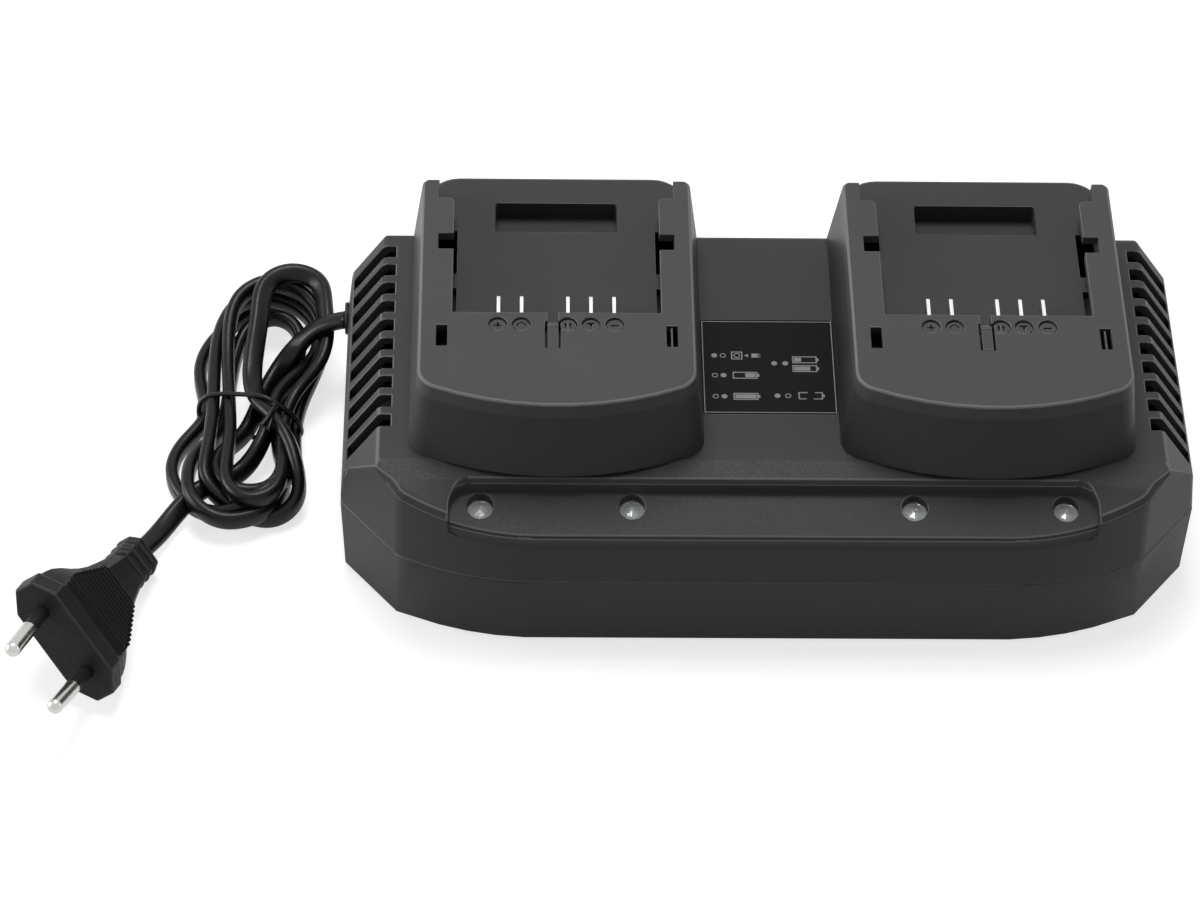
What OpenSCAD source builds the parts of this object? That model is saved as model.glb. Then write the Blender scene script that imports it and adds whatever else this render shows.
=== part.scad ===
// Two-bay charger for slide-on tool battery packs, with a tied-up flat mains lead and a moulded two-pin plug.
// Millimetres. +X right, +Y to the back, +Z up. The origin is on the resting surface, under the middle of the
// charger without its lead.

/* [Housing] */
// Width of the housing across the parting line
housing_w = 217; // [205:1:262]
// Depth of the housing across the parting line
housing_d = 100; // [96:1:122]
// Height of the flat top face above the resting surface
top_z = 48; // [46:0.5:58]
// Height of the line where the upper and lower shells meet
parting_z = 23.5; // [21:0.5:26]
// Thickness of the moulded walls
wall = 2.5; // [2:0.1:3]
// Gap that the rubber feet leave under the housing
foot_gap = 1; // [0.5:0.1:2]
// Width of the slanting front corner along X
corner_dx = 14.7; // [10:0.1:20]
// Depth of the slanting front corner along Y
corner_dy = 18; // [12:0.5:22]
// Radius of the rounded ends of the front wall, in plan
front_arc_r = 78; // [60:1:94]
// Width of the straight middle of the front wall
front_flat_w = 116; // [96:1:130]
// How far the top face stops short of the parting line's width, each side
side_inset = 10; // [8:0.5:14]
// How far the sloping sides drop
side_drop = 13.5; // [10:0.5:16]
// Length of the front apron, from the front wall to the top face
apron_l = 16; // [12:0.5:18]
// How far the front apron drops
apron_drop = 8; // [5:0.5:9]
// Inward draft of the side walls
draft = 1.2; // [0.4:0.1:1.5]

/* [Vents] */
// Number of slots on each side
vent_count = 10; // [4:1:11]
// Width of one slot
vent_w = 4; // [2.5:0.1:4.8]
// Distance from one slot to the next
vent_pitch = 6.7; // [5.5:0.1:7]
// Distance from the back wall to the first slot
vent_from_back = 5.6; // [4:0.1:12]
// Length of a slot on the flat top face
vent_on_top = 3.1; // [1:0.1:5]

/* [Docks] */
// Distance between the middles of the two docks
bay_pitch = 108; // [98:1:118]
// Height of a dock above the top face
dock_h = 22; // [18:0.5:28]
// Width of a dock's foot
dock_foot_w = 74; // [70:0.5:80]
// Depth of a dock's foot
dock_foot_l = 87; // [82:0.5:90]
// How much narrower each side of a dock is at the top
dock_side_in = 2.7; // [1:0.1:4]
// How much each end of a dock leans in at the top
dock_end_in = 3.6; // [1:0.1:5]
// Radius of a dock's curved front, in plan
dock_arc_r = 82; // [70:1:120]
// Radius of a dock's front corners at the foot
dock_corner_r = 7; // [5:0.5:9]
// How far the pocket floor reaches out behind the housing
dock_overhang = 4; // [2:0.5:6]

/* [Battery pocket] */
// Length of the pocket, from its front wall to the back of the housing
pocket_l = 51.5; // [48:0.5:54]
// Depth of the pocket
pocket_depth = 6; // [5:0.1:7.5]
// Width between the overhanging lips
lip_gap_w = 52.2; // [48:0.2:54]
// Width between the pocket's side walls, under the lips
pocket_w = 60; // [58:0.2:62]
// Thickness of an overhanging lip
lip_t = 2.6; // [2:0.1:3]
// Distance from the pocket's front wall to the rear end of the lips
lip_l = 41.5; // [38:0.5:44]
// Distance from the pocket's front wall to the notch in each lip
notch_from = 22.6; // [18:0.2:26]
// Length of that notch
notch_l = 5.6; // [3:0.2:7]
// Width of the latch recess in the pocket floor
latch_w = 31.2; // [24:0.2:36]
// Length of the latch recess
latch_l = 10.6; // [8:0.2:12]
// Depth of the latch recess
latch_depth = 5.5; // [3:0.1:6]
// Distance from the pocket's front wall to the latch recess
latch_from = 35; // [32:0.2:37]

/* [Contacts] */
// Thickness of a contact blade
blade_t = 0.95; // [0.6:0.05:1.2]
// How far a blade stands out of the pocket's front wall
blade_out = 9.1; // [6:0.1:12]
// Gap between the pocket floor and a blade
blade_lift = 0.4; // [0.2:0.1:1]
// Gap between a blade's top and the dock's top
blade_below = 2.8; // [2.6:0.1:3.2]
// Width of the sprung tongue in the dock's front plate
tongue_w = 2.7; // [2:0.1:4]
// Length of the sprung tongue
tongue_l = 8.6; // [6:0.1:10]
// Clear gap along each side of the tongue
tongue_gap = 0.6; // [0.4:0.1:1]

/* [Lamps and label] */
// Width of the lamp recess
recess_w = 161.4; // [150:0.5:170]
// Length of the lamp recess, front to back
recess_l = 14.5; // [12:0.5:15]
// Depth of the lamp recess below the top face
recess_depth = 6.7; // [6:0.1:8]
// Distance between the two lamps of one bay
lamp_pitch = 37.7; // [30:0.1:44]
// Diameter of a lamp's bore
lamp_d = 6.5; // [4:0.1:7]
// Width of the label
label_w = 34; // [26:0.5:34]
// Depth of the label
label_l = 33; // [26:0.5:38]

/* [Lead and plug] */
// Diameter of the lead
lead_d = 4.6; // [4:0.1:5]
// Width of the plug
plug_w = 35; // [33:0.5:36]
// Thickness of the plug
plug_t = 13.7; // [12:0.1:14]
// Diameter of a bare plug pin
pin_d = 4; // [3.9:0.05:4.1]
// Length of a plug pin
pin_l = 19; // [18:0.5:20]
// Distance between the plug pins at the plug's face
pin_pitch = 18.6; // [18:0.1:19]
// Length of the insulating sleeve on a plug pin
sleeve_l = 7.6; // [6:0.1:10]

/* [Hidden] */
$fn = 48;

shell_grey = [0.22, 0.22, 0.22];
dock_grey = [0.27, 0.27, 0.27];
board_green = [0.1, 0.32, 0.2];
black = [0.06, 0.06, 0.06];
bright = [0.82, 0.82, 0.8];
steel = [0.6, 0.6, 0.62];

over = 1;         // how far a cut runs past the face that it opens
sliver = 0.01;    // thickness of a slice that a hull starts from
slack = 0.1;      // clearance round a piece that sits in a slot, each side
half_w = housing_w / 2;
front_y = -(housing_d + dock_overhang) / 2;
back_y = front_y + housing_d;
dock_z = top_z + dock_h;

// Parting line: a lip inside the lower shell enters a rebate in the upper one.
lip_up = 2;
lip_wall = 1.1;
lip_clear = 0.2;

// The slanting corner's line, moved inwards by g, crosses the side and the front arc here.
corner_l = norm([corner_dx, corner_dy]);
arc_half = asin((half_w - corner_dx - front_flat_w / 2) / front_arc_r);
corner_y = front_y + front_arc_r * (1 - cos(arc_half));
arc_in = [-sin(arc_half), cos(arc_half)];
corner_in = [-corner_dy, corner_dx] / corner_l;
corner_mitre = (arc_in + corner_in) / (1 + arc_in * corner_in);

function flip(points) = [for (i = [len(points) - 1:-1:0]) [-points[i][0], points[i][1]]];
function arc(centre, r, from, to, steps) =
    [for (i = [0:steps]) let (a = from + (to - from) * i / steps) centre + r * [cos(a), sin(a)]];

// Right half of the housing's plan outline, from the front to the back, moved inwards by g.
function half_plan(g) = concat(
    arc([front_flat_w / 2, front_y + front_arc_r], front_arc_r - g, -90, -90 + arc_half * 0.9, 6),
    [[half_w - corner_dx, corner_y] + g * corner_mitre],
    [[half_w - g, corner_y + corner_dy + g * (corner_l - corner_dy) / corner_dx]],
    [[half_w - g, back_y - g]]);

module housing_prism(g, low, high) {
    translate([0, 0, low])
        linear_extrude(high - low)
            polygon(concat(half_plan(g), flip(half_plan(g))));
}

// A profile in X and Z, drawn for the right side and mirrored, that runs the whole depth.
module across(points) {
    translate([0, back_y + over, 0])
        rotate([90, 0, 0])
            linear_extrude(housing_d + 2 * over)
                polygon(concat(points, flip(points)));
}

// A profile in Y and Z that runs from x = low to x = high.
module along(points, low, high) {
    translate([low, 0, 0])
        rotate([90, 0, 90])
            linear_extrude(high - low)
                polygon(points);
}

module box(low, high) {
    translate(low)
        cube(high - low);
}

module post(x, y, d, low, high) {
    translate([x, y, low])
        cylinder(d = d, h = high - low);
}

module at_both_bays() {
    for (side = [-1, 1])
        translate([side * bay_pitch / 2, 0, 0])
            children();
}

module at_bay(side) {
    translate([side * bay_pitch / 2, 0, 0])
        children();
}

// ---------------------------------------------------------------- fasteners

// Pan-head screw whose shank points up from z = seat.
module screw_up(x, y, seat, d, head_d, head_h, length) {
    difference() {
        union() {
            post(x, y, d, seat - sliver, seat + length);
            post(x, y, head_d, seat - head_h, seat);
        }
        box([x - head_d * 0.35, y - 0.4, seat - head_h - over], [x + head_d * 0.35, y + 0.4, seat - head_h * 0.5]);
        box([x - 0.4, y - head_d * 0.35, seat - head_h - over], [x + 0.4, y + head_d * 0.35, seat - head_h * 0.5]);
    }
}

// The same screw with its shank pointing down.
module screw_down(x, y, seat, d, head_d, head_h, length) {
    translate([0, 0, 2 * seat])
        mirror([0, 0, 1])
            screw_up(x, y, seat, d, head_d, head_h, length);
}

screw_d = 3;
screw_head_d = 5.8;
screw_head_h = 2.2;
small_screw_d = 2.2;
small_head_d = 4;
small_head_h = 1.4;
thread_clear = 0.1;   // a screw's hole is this much wider than its shank
boss_d = 7.6;
small_boss_d = 5;

housing_screw_spots = concat(
    [for (x = [-1, 0, 1]) [x * (half_w - 28.5), back_y - wall - draft - boss_d / 2 - 0.5]],
    [[0, front_y + 22]], [for (x = [-1, 1]) [x * (half_w - corner_dx - 7.8), corner_y + 9.3]]);
housing_screw_seat = 8;
housing_screw_l = 22;
lower_boss_top = parting_z - 1.5;
boss_break = 0.3;     // gap between the lower and the upper boss
counterbore_d = 7;

// ---------------------------------------------------------------- lower housing

floor_z = foot_gap + wall;
foot_d = 11;
foot_set_in = 0.8;
foot_spots = [for (x = [-1, 1]) each [[x * (half_w - corner_dx - 15.3), corner_y + 8.3], [x * (half_w - 16), back_y - 12]]];

board_top = 15.6;
board_t = 1.6;
board_x = 82;
board_front = back_y - 72;
board_back = back_y - 14;
board_spots = [for (x = [-1, 1]) for (y = [board_front + 5, board_back - 5]) [x * (board_x - 5), y]];

lead_y = back_y - 7.9;
clamp_y = back_y - 26;
clamp_x = -(half_w - 14.5);
clamp_span = 13;
clamp_post_top = 9;

module lower_shape(g, low) {
    intersection() {
        housing_prism(g, low, parting_z);
        across([[half_w - g, parting_z + sliver], [half_w - g - draft * 0.6, low - sliver]]);
        along([[front_y + g, parting_z + sliver], [front_y + g + draft * 0.6, low - sliver],
               [back_y - g - draft * 0.6, low - sliver], [back_y - g, parting_z + sliver]], -half_w, half_w);
    }
}

module lower_housing() {
    color(shell_grey)
        difference() {
            union() {
                difference() {
                    lower_shape(0, foot_gap);
                    lower_shape(wall, floor_z);
                }
                difference() {
                    housing_prism(wall - lip_wall, parting_z - 4, parting_z + lip_up);
                    housing_prism(wall + draft, parting_z - 5, parting_z + lip_up + over);
                }
                for (p = housing_screw_spots)
                    post(p[0], p[1], boss_d, foot_gap, lower_boss_top);
                for (p = board_spots)
                    post(p[0], p[1], boss_d, foot_gap, board_top - board_t);
                for (x = [-1, 1])
                    post(clamp_x + x * clamp_span / 2, clamp_y, small_boss_d, foot_gap, clamp_post_top);
                box([clamp_x - 3, clamp_y - 3, foot_gap + 1], [clamp_x + 3, clamp_y + 3, lead_low - lead_d / 2]);
            }
            for (p = housing_screw_spots) {
                post(p[0], p[1], counterbore_d, foot_gap - over, housing_screw_seat);
                post(p[0], p[1], screw_d + 0.6, foot_gap, lower_boss_top + over);
            }
            for (p = board_spots)
                post(p[0], p[1], small_screw_d + thread_clear, floor_z + 2, board_top);
            for (x = [-1, 1])
                post(clamp_x + x * clamp_span / 2, clamp_y, small_screw_d + thread_clear, floor_z, clamp_post_top + over);
            for (p = foot_spots)
                post(p[0], p[1], foot_d + 0.4, foot_gap - over, foot_gap + foot_set_in);
            relief_hole();
            relief_room();
        }
}

module rubber_feet() {
    color(black)
        for (p = foot_spots)
            post(p[0], p[1], foot_d, 0, foot_gap + foot_set_in);
}

module housing_screws() {
    color(steel)
        for (p = housing_screw_spots)
            screw_up(p[0], p[1], housing_screw_seat, screw_d, screw_head_d, screw_head_h, housing_screw_l);
}

// ---------------------------------------------------------------- upper housing

slope_foot_x = half_w - draft;
slope_top_x = half_w - side_inset;
slope_low_z = top_z - side_drop;
slope_run = slope_foot_x - slope_top_x;
slope_skin = wall * norm([slope_run, side_drop]) / side_drop;   // the sloping wall's thickness along X

apron_y = front_y + apron_l;
apron_low_z = top_z - apron_drop;

recess_z = top_z - recess_depth;
recess_back = front_y + recess_l;
recess_corner_r = 6.5;
lamp_y = front_y + 9.7;
label_y = front_y + 51.5;
label_set_in = 0.4;
label_t = 0.3;

window_w = 32;
window_front = back_y - pocket_l - 15.5;
window_back = back_y - pocket_l + 1.5;

contact_board_z = top_z + 2.5;
contact_board_t = 1.6;
contact_board_w = 44;
contact_board_front = window_front - 5;
contact_board_back = window_back + 4;
contact_board_spots = [for (x = [-1, 1]) for (y = [contact_board_front + 2.6, contact_board_back - 2.6])
    [x * (contact_board_w / 2 - 3.2), y]];

dock_front_boss = [26, back_y - 72];
dock_rear_boss = [20, back_y - 24];
dock_boss_spots = [for (x = [-1, 1]) for (p = [dock_front_boss, dock_rear_boss]) [x * p[0], p[1]]];
dock_boss_d = 7;
dock_screw_l = 10;

lamp_board_top = recess_z - wall - 6;
lamp_board_x = (bay_pitch + lamp_pitch) / 2 + 4;
lamp_board_spots = [for (x = [-1, 1]) [x * (bay_pitch / 2), lamp_y]];

module upper_shape(g) {
    intersection() {
        housing_prism(g, parting_z, top_z - g);
        across([[half_w - g, parting_z - sliver],
                [slope_foot_x - g, slope_low_z - (g > 0 ? wall * 0.3 : 0)],
                [slope_top_x - (g > 0 ? slope_skin - slope_run * wall / side_drop : 0), top_z - g + sliver]]);
        along([[back_y - g, parting_z - sliver], [back_y - g, top_z - g + sliver],
               [apron_y + g * 0.25, top_z - g + sliver], [front_y + g * 0.25, apron_low_z - g],
               [front_y + g * 0.25, parting_z - sliver]], -half_w, half_w);
    }
}

// The lamp recess, or with g the block that forms its walls.
module recess_block(g, low, high) {
    r = recess_corner_r + g;
    x = recess_w / 2 + g;
    rounded = concat([[x, front_y - over]], arc([x - r, recess_back + g - r], r, 0, 90, 6));
    translate([0, 0, low])
        linear_extrude(high - low)
            polygon(concat(rounded, flip(rounded)));
}

module vent_slot(y) {
    slot = [[slope_top_x - vent_on_top, top_z + over], [slope_top_x - vent_on_top, top_z - wall - over],
            [slope_top_x - slope_skin, top_z - wall - over * 2], [slope_foot_x - slope_skin, slope_low_z - over],
            [slope_foot_x - 0.7, slope_low_z - over], [slope_foot_x - 0.7, top_z + over]];
    for (side = [0, 1])
        mirror([side, 0, 0])
            translate([0, y, 0])
                rotate([90, 0, 0])
                    linear_extrude(vent_w)
                        polygon(slot);
}

module upper_housing() {
    color(shell_grey)
        difference() {
            union() {
                difference() {
                    upper_shape(0);
                    difference() {
                        upper_shape(wall);
                        recess_block(wall, recess_z - wall, top_z);
                    }
                    housing_prism(wall - lip_wall - lip_clear, parting_z - over, parting_z + lip_up + lip_clear);
                }
                intersection() {
                    upper_shape(0);
                    union() {
                        for (p = housing_screw_spots)
                            post(p[0], p[1], boss_d, lower_boss_top + boss_break + over + 1, top_z);
                        for (p = lamp_board_spots)
                            post(p[0], p[1], small_boss_d, lamp_board_top, recess_z);
                    }
                }
                for (p = housing_screw_spots)
                    post(p[0], p[1], boss_d, lower_boss_top + boss_break, parting_z + 3);
                at_both_bays()
                    for (p = contact_board_spots)
                        post(p[0], p[1], small_boss_d, top_z - wall, contact_board_z);
            }
            for (p = housing_screw_spots)
                post(p[0], p[1], screw_d + thread_clear, lower_boss_top, housing_screw_seat + housing_screw_l + over);
            for (p = lamp_board_spots)
                post(p[0], p[1], small_screw_d + thread_clear, lamp_board_top - over, lamp_board_top + 4.5);
            recess_block(0, recess_z, top_z + over);
            for (i = [0:vent_count - 1])
                vent_slot(back_y - vent_from_back - i * vent_pitch);
            box([-label_w / 2 - slack, label_y - label_l / 2 - slack, top_z - label_set_in],
                [label_w / 2 + slack, label_y + label_l / 2 + slack, top_z + over]);
            at_both_bays() {
                for (x = [-1, 1])
                    post(x * lamp_pitch / 2, lamp_y, lamp_d, recess_z - wall - over, recess_z + over);
                box([-window_w / 2, window_front, top_z - wall - over], [window_w / 2, window_back, top_z + over]);
                for (p = contact_board_spots)
                    post(p[0], p[1], small_screw_d + thread_clear, top_z - wall + 0.5, contact_board_z + over);
                for (p = dock_boss_spots)
                    post(p[0], p[1], screw_d + 0.6, top_z - wall - over, top_z + over);
            }
            relief_hole();
            relief_room();
        }
}

module label_panel() {
    color(black)
        box([-label_w / 2, label_y - label_l / 2, top_z - label_set_in],
            [label_w / 2, label_y + label_l / 2, top_z - label_set_in + label_t]);
}

// ---------------------------------------------------------------- docks

pocket_front = back_y - pocket_l;
pocket_floor = dock_z - pocket_depth;
dock_front = back_y - dock_foot_l;
shelf_r = 8.3;
shelf_half_w = pocket_w / 2 + 3.2;
slit_in = 0.8;          // how far the floor slits reach inside the lips
front_slit_l = 14.5;
rear_slit_from = 19.8;  // from the pocket's front wall
rear_slit_l = 15.4;
hole_w = 2.8;
hole_l = 7.2;
hole_from = 4.5;
tongue_x = -1;
tongue_notch = 2.9;
tongue_t = 2;
tongue_end_gap = 0.5;
tongue_root_gap = 0.3;
blade_spots = [-14.6, -8.8, 2.8, 8.6, 14.4];

// A dock's plan outline: curved front, rounded front corners, straight back. g moves it inwards.
function dock_plan(half, front, back, r_corner, g) =
    let (
        h = half - g,
        c = max(r_corner - g, 0.5),
        big = dock_arc_r - g,
        big_y = front + dock_arc_r,
        corner = [h - c, big_y - sqrt(pow(big - c, 2) - pow(h - c, 2))],
        turn = atan2(corner[1] - big_y, corner[0])
    )
    concat(arc([0, big_y], big, -90, turn, 5), arc(corner, c, turn * 0.8, 0, 4), [[h, back - g]]);

module dock_slice(half, front, back, r_corner, g, z) {
    plan = dock_plan(half, front, back, r_corner, g);
    translate([0, 0, z])
        linear_extrude(sliver)
            polygon(concat(plan, flip(plan)));
}

module dock_form(g, low, high) {
    hull() {
        dock_slice(dock_foot_w / 2, dock_front, back_y, dock_corner_r, g, low);
        dock_slice(dock_foot_w / 2 - dock_side_in, dock_front + dock_end_in, back_y - dock_end_in, dock_corner_r - 2,
                   g, high - sliver);
    }
}

// The pocket floor's rear edge, a rounded shelf that leans back under itself.
module dock_shelf() {
    reach = back_y + dock_overhang;
    plan = concat([[shelf_half_w, back_y - 12]], arc([shelf_half_w - shelf_r, reach - shelf_r], shelf_r, 0, 90, 6));
    intersection() {
        translate([0, 0, top_z])
            linear_extrude(dock_h)
                polygon(concat(plan, flip(plan)));
        along([[back_y - 8, pocket_floor], [back_y - 8, pocket_floor - 8], [back_y - wall, pocket_floor - 10],
               [back_y, pocket_floor - 8], [reach, pocket_floor - 4], [reach, pocket_floor]],
              -shelf_half_w, shelf_half_w);
    }
}

module dock() {
    rear = back_y + dock_overhang + over;
    roof = dock_z + over;
    side = pocket_w / 2;
    notch = pocket_front + notch_from;
    color(dock_grey)
        difference() {
            union() {
                difference() {
                    dock_form(0, top_z, dock_z);
                    difference() {
                        dock_form(wall, top_z - over, dock_z - wall);
                        box([-side - wall, pocket_front - wall, pocket_floor - wall], [side + wall, back_y, roof]);
                        box([-latch_w / 2 - wall, pocket_front + latch_from - wall, pocket_floor - latch_depth - wall],
                            [latch_w / 2 + wall, back_y, roof]);
                    }
                }
                dock_shelf();
                for (p = dock_boss_spots)
                    post(p[0], p[1], dock_boss_d, top_z, p[1] < pocket_front ? dock_z - 1 : pocket_floor - 1);
            }
            box([-lip_gap_w / 2, pocket_front, pocket_floor], [lip_gap_w / 2, rear, roof]);
            box([-side, pocket_front, pocket_floor], [side, rear, dock_z - lip_t]);
            box([-side, pocket_front + lip_l, pocket_floor], [side, rear, roof]);
            box([-side, notch, pocket_floor], [side, notch + notch_l, roof]);
            for (m = [0, 1])
                mirror([m, 0, 0]) {
                    box([lip_gap_w / 2 - slit_in, pocket_front, pocket_floor - wall - over],
                        [side, pocket_front + front_slit_l, pocket_floor + over]);
                    box([lip_gap_w / 2 - slit_in, pocket_front + rear_slit_from, pocket_floor - wall - over],
                        [side, pocket_front + rear_slit_from + rear_slit_l, pocket_floor + over]);
                    box([side - hole_w, pocket_front - hole_from - hole_l, dock_z - wall - over],
                        [side, pocket_front - hole_from, roof]);
                }
            box([-latch_w / 2, pocket_front + latch_from, pocket_floor - latch_depth],
                [latch_w / 2, pocket_front + latch_from + latch_l, roof]);
            box([tongue_x - tongue_w / 2, pocket_front - tongue_notch, dock_z - 4],
                [tongue_x + tongue_w / 2, pocket_front + over, roof]);
            box([tongue_x - tongue_w / 2 - tongue_gap, pocket_front - tongue_notch - tongue_end_gap - tongue_l - tongue_root_gap,
                 dock_z - wall - over],
                [tongue_x + tongue_w / 2 + tongue_gap, pocket_front - tongue_notch + sliver, roof]);
            for (x = blade_spots)
                box([x - blade_t / 2 - slack, pocket_front - wall - over, blade_low - slack],
                    [x + blade_t / 2 + slack, pocket_front + over, blade_top + slack]);
            for (p = dock_boss_spots)
                post(p[0], p[1], screw_d + thread_clear, top_z - over, top_z + dock_screw_l);
        }
}

module tongue() {
    free = pocket_front - tongue_notch - tongue_end_gap;
    color(dock_grey)
        box([tongue_x - tongue_w / 2, free - tongue_l, dock_z - tongue_t], [tongue_x + tongue_w / 2, free, dock_z]);
}

module dock_screws() {
    color(steel)
        at_both_bays()
            for (p = dock_boss_spots)
                screw_up(p[0], p[1], top_z - wall, screw_d, screw_head_d, screw_head_h, dock_screw_l);
}

// ---------------------------------------------------------------- contacts

blade_low = pocket_floor + blade_lift;
blade_top = dock_z - max(blade_below, wall + 0.3);
leg_l = 3;
leg_y = pocket_front - wall - 6.5;
block_front = leg_y - 1.6;
block_half_w = 18;
block_low = contact_board_z + contact_board_t + 3.5;
block_top = dock_z - wall;
block_foot_x = 11.6;
block_foot_d = 3.6;

// Side view of a blade: an arm into the pocket with a rounded nose, and a leg down to the board.
module blade(x, g, low) {
    nose = pocket_front + blade_out;
    side_view = concat(
        [[leg_y - g, low], [leg_y + leg_l + g, low], [leg_y + leg_l + g, blade_low - g]],
        [[nose - 1, blade_low - g], [nose, blade_low + 1], [nose, blade_top - 1.1], [nose - 1.1, blade_top + g]],
        [[leg_y - g, blade_top + g]]);
    along(side_view, x - blade_t / 2 - g, x + blade_t / 2 + g);
}

module contact_blades() {
    color(bright)
        for (x = blade_spots)
            blade(x, 0, contact_board_z - 1.2);
}

module terminal_block() {
    color(black)
        difference() {
            union() {
                box([-block_half_w, block_front, block_low], [block_half_w, pocket_front - wall, block_top]);
                for (x = [-1, 1])
                    post(x * block_foot_x, leg_y + 3, block_foot_d, contact_board_z + contact_board_t, block_low + 1);
            }
            for (x = blade_spots)
                box([x - blade_t / 2 - slack, leg_y - slack, block_low - over],
                    [x + blade_t / 2 + slack, leg_y + leg_l + slack, block_top + over]);
            for (x = blade_spots)
                box([x - blade_t / 2 - slack, leg_y, blade_low - slack],
                    [x + blade_t / 2 + slack, pocket_front, block_top + over]);
            box([tongue_x - tongue_w / 2 - tongue_gap, block_front - over, block_top - 1.5],
                [tongue_x + tongue_w / 2 + tongue_gap, pocket_front, block_top + over]);
        }
}

module contact_board() {
    color(board_green)
        difference() {
            box([-contact_board_w / 2, contact_board_front, contact_board_z],
                [contact_board_w / 2, contact_board_back, contact_board_z + contact_board_t]);
            for (x = blade_spots)
                box([x - blade_t / 2 - slack, leg_y - slack, contact_board_z - over],
                    [x + blade_t / 2 + slack, leg_y + leg_l + slack, contact_board_z + contact_board_t + over]);
            for (p = contact_board_spots)
                post(p[0], p[1], small_screw_d + 0.4, contact_board_z - over, contact_board_z + contact_board_t + over);
        }
}

module contact_board_screws() {
    color(steel)
        at_both_bays()
            for (p = contact_board_spots)
                screw_down(p[0], p[1], contact_board_z + contact_board_t, small_screw_d, small_head_d, small_head_h, 4.5);
}

// ---------------------------------------------------------------- lamps

lens_below = 1.2;       // how far a lens's face lies under the recess floor
lens_flange_d = lamp_d + 1.8;
lens_flange_t = 1.2;
lamp_spots = [for (bay = [-1, 1]) for (x = [-1, 1]) bay * bay_pitch / 2 + x * lamp_pitch / 2];

module lamp_lenses() {
    color([0.85, 0.87, 0.88, 0.5])
        for (x = lamp_spots)
            difference() {
                union() {
                    post(x, lamp_y, lamp_d - 0.2, recess_z - wall - sliver, recess_z - lens_below);
                    post(x, lamp_y, lens_flange_d, recess_z - wall - lens_flange_t, recess_z - wall);
                }
                post(x, lamp_y, 3.4, recess_z - wall - lens_flange_t - over, recess_z - wall - 0.2);
            }
}

module lamp_diodes() {
    color([0.9, 0.9, 0.85])
        for (x = lamp_spots) {
            post(x, lamp_y, 3, lamp_board_top, recess_z - wall - 0.6);
            post(x, lamp_y, 3.2, lamp_board_top, lamp_board_top + 1);
        }
}

module lamp_board() {
    color(board_green)
        difference() {
            box([-lamp_board_x, lamp_y - 3.5, lamp_board_top - board_t], [lamp_board_x, lamp_y + 5.5, lamp_board_top]);
            for (p = lamp_board_spots)
                post(p[0], p[1], small_screw_d + 0.4, lamp_board_top - board_t - over, lamp_board_top + over);
        }
}

module lamp_board_screws() {
    color(steel)
        for (p = lamp_board_spots)
            screw_up(p[0], p[1], lamp_board_top - board_t, small_screw_d, small_head_d, small_head_h, 5);
}

module lamp_ribbon() {
    low = board_top;
    high = lamp_board_top - board_t;
    y = board_front + 3;
    edge = lamp_y + 4;
    color([0.75, 0.75, 0.72])
        along([[y, low], [y + 0.6, low], [y + 0.6, low + 6], [edge + 0.6, high - 4], [edge + 0.6, high], [edge, high],
               [edge, high - 4.2], [y, low + 5.8]], -22, -12);
}

// ---------------------------------------------------------------- main board and what stands on it

module main_board() {
    color(board_green)
        difference() {
            box([-board_x, board_front, board_top - board_t], [board_x, board_back, board_top]);
            for (p = board_spots)
                post(p[0], p[1], small_screw_d + 0.4, board_top - board_t - over, board_top + over);
        }
}

module main_board_screws() {
    color(steel)
        for (p = board_spots)
            screw_down(p[0], p[1], board_top, small_screw_d, small_head_d, small_head_h, 7);
}

transformer_x = 31;
transformer_y = back_y - 34;
core_w = 30;
core_d = 26;
core_h = 24;
core_leg = 6;
bobbin_lift = 3;

module transformer_cores() {
    color([0.16, 0.15, 0.15])
        for (side = [-1, 1])
            translate([side * transformer_x, transformer_y, board_top + bobbin_lift])
                difference() {
                    box([-core_w / 2, -core_d / 4, 0], [core_w / 2, core_d / 4, core_h - bobbin_lift]);
                    for (x = [-1, 1])
                        box([x * 8 - 4, -core_d, core_leg], [x * 8 + 4, core_d, core_h - bobbin_lift - core_leg + 1]);
                }
}

module transformer_windings() {
    color([0.8, 0.65, 0.2])
        for (side = [-1, 1])
            translate([side * transformer_x, transformer_y, board_top + bobbin_lift])
                difference() {
                    union() {
                        box([-11.6, -core_d / 2, core_leg + 0.2], [11.6, core_d / 2, core_h - bobbin_lift - core_leg + 0.8]);
                        for (y = [-1, 1])
                            box([-9, y * 10.5 - 2, -bobbin_lift], [9, y * 10.5 + 2, core_leg + 1]);
                    }
                    box([-4.2, -core_d / 4 - 0.2, core_leg - over], [4.2, core_d / 4 + 0.2, core_h]);
                    for (x = [-1, 1])
                        box([x * 14.2 - 2.4, -core_d / 4 - 0.2, 0], [x * 14.2 + 2.4, core_d / 4 + 0.2, core_h]);
                }
}

module bulk_capacitors() {
    color([0.12, 0.14, 0.2])
        for (y = [0, 1])
            post(-57, back_y - 22 - y * 19, 17, board_top, board_top + 24);
}

module output_capacitors() {
    color([0.1, 0.2, 0.14])
        for (x = [-1, 1])
            for (y = [0, 1])
                post(59 + x * 6, back_y - 25 - y * 13, 10, board_top, board_top + 16);
}

sink_y = board_front + 12;

module heat_sinks() {
    color([0.7, 0.71, 0.73])
        for (side = [-1, 1])
            difference() {
                box([side * 38 - 17, sink_y, board_top], [side * 38 + 17, sink_y + 9, board_top + 22]);
                for (i = [0:6])
                    box([side * 38 - 14.6 + i * 4.6, sink_y + 2.5, board_top - over],
                        [side * 38 - 12 + i * 4.6, sink_y + 9 + over, board_top + 22 + over]);
            }
}

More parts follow.
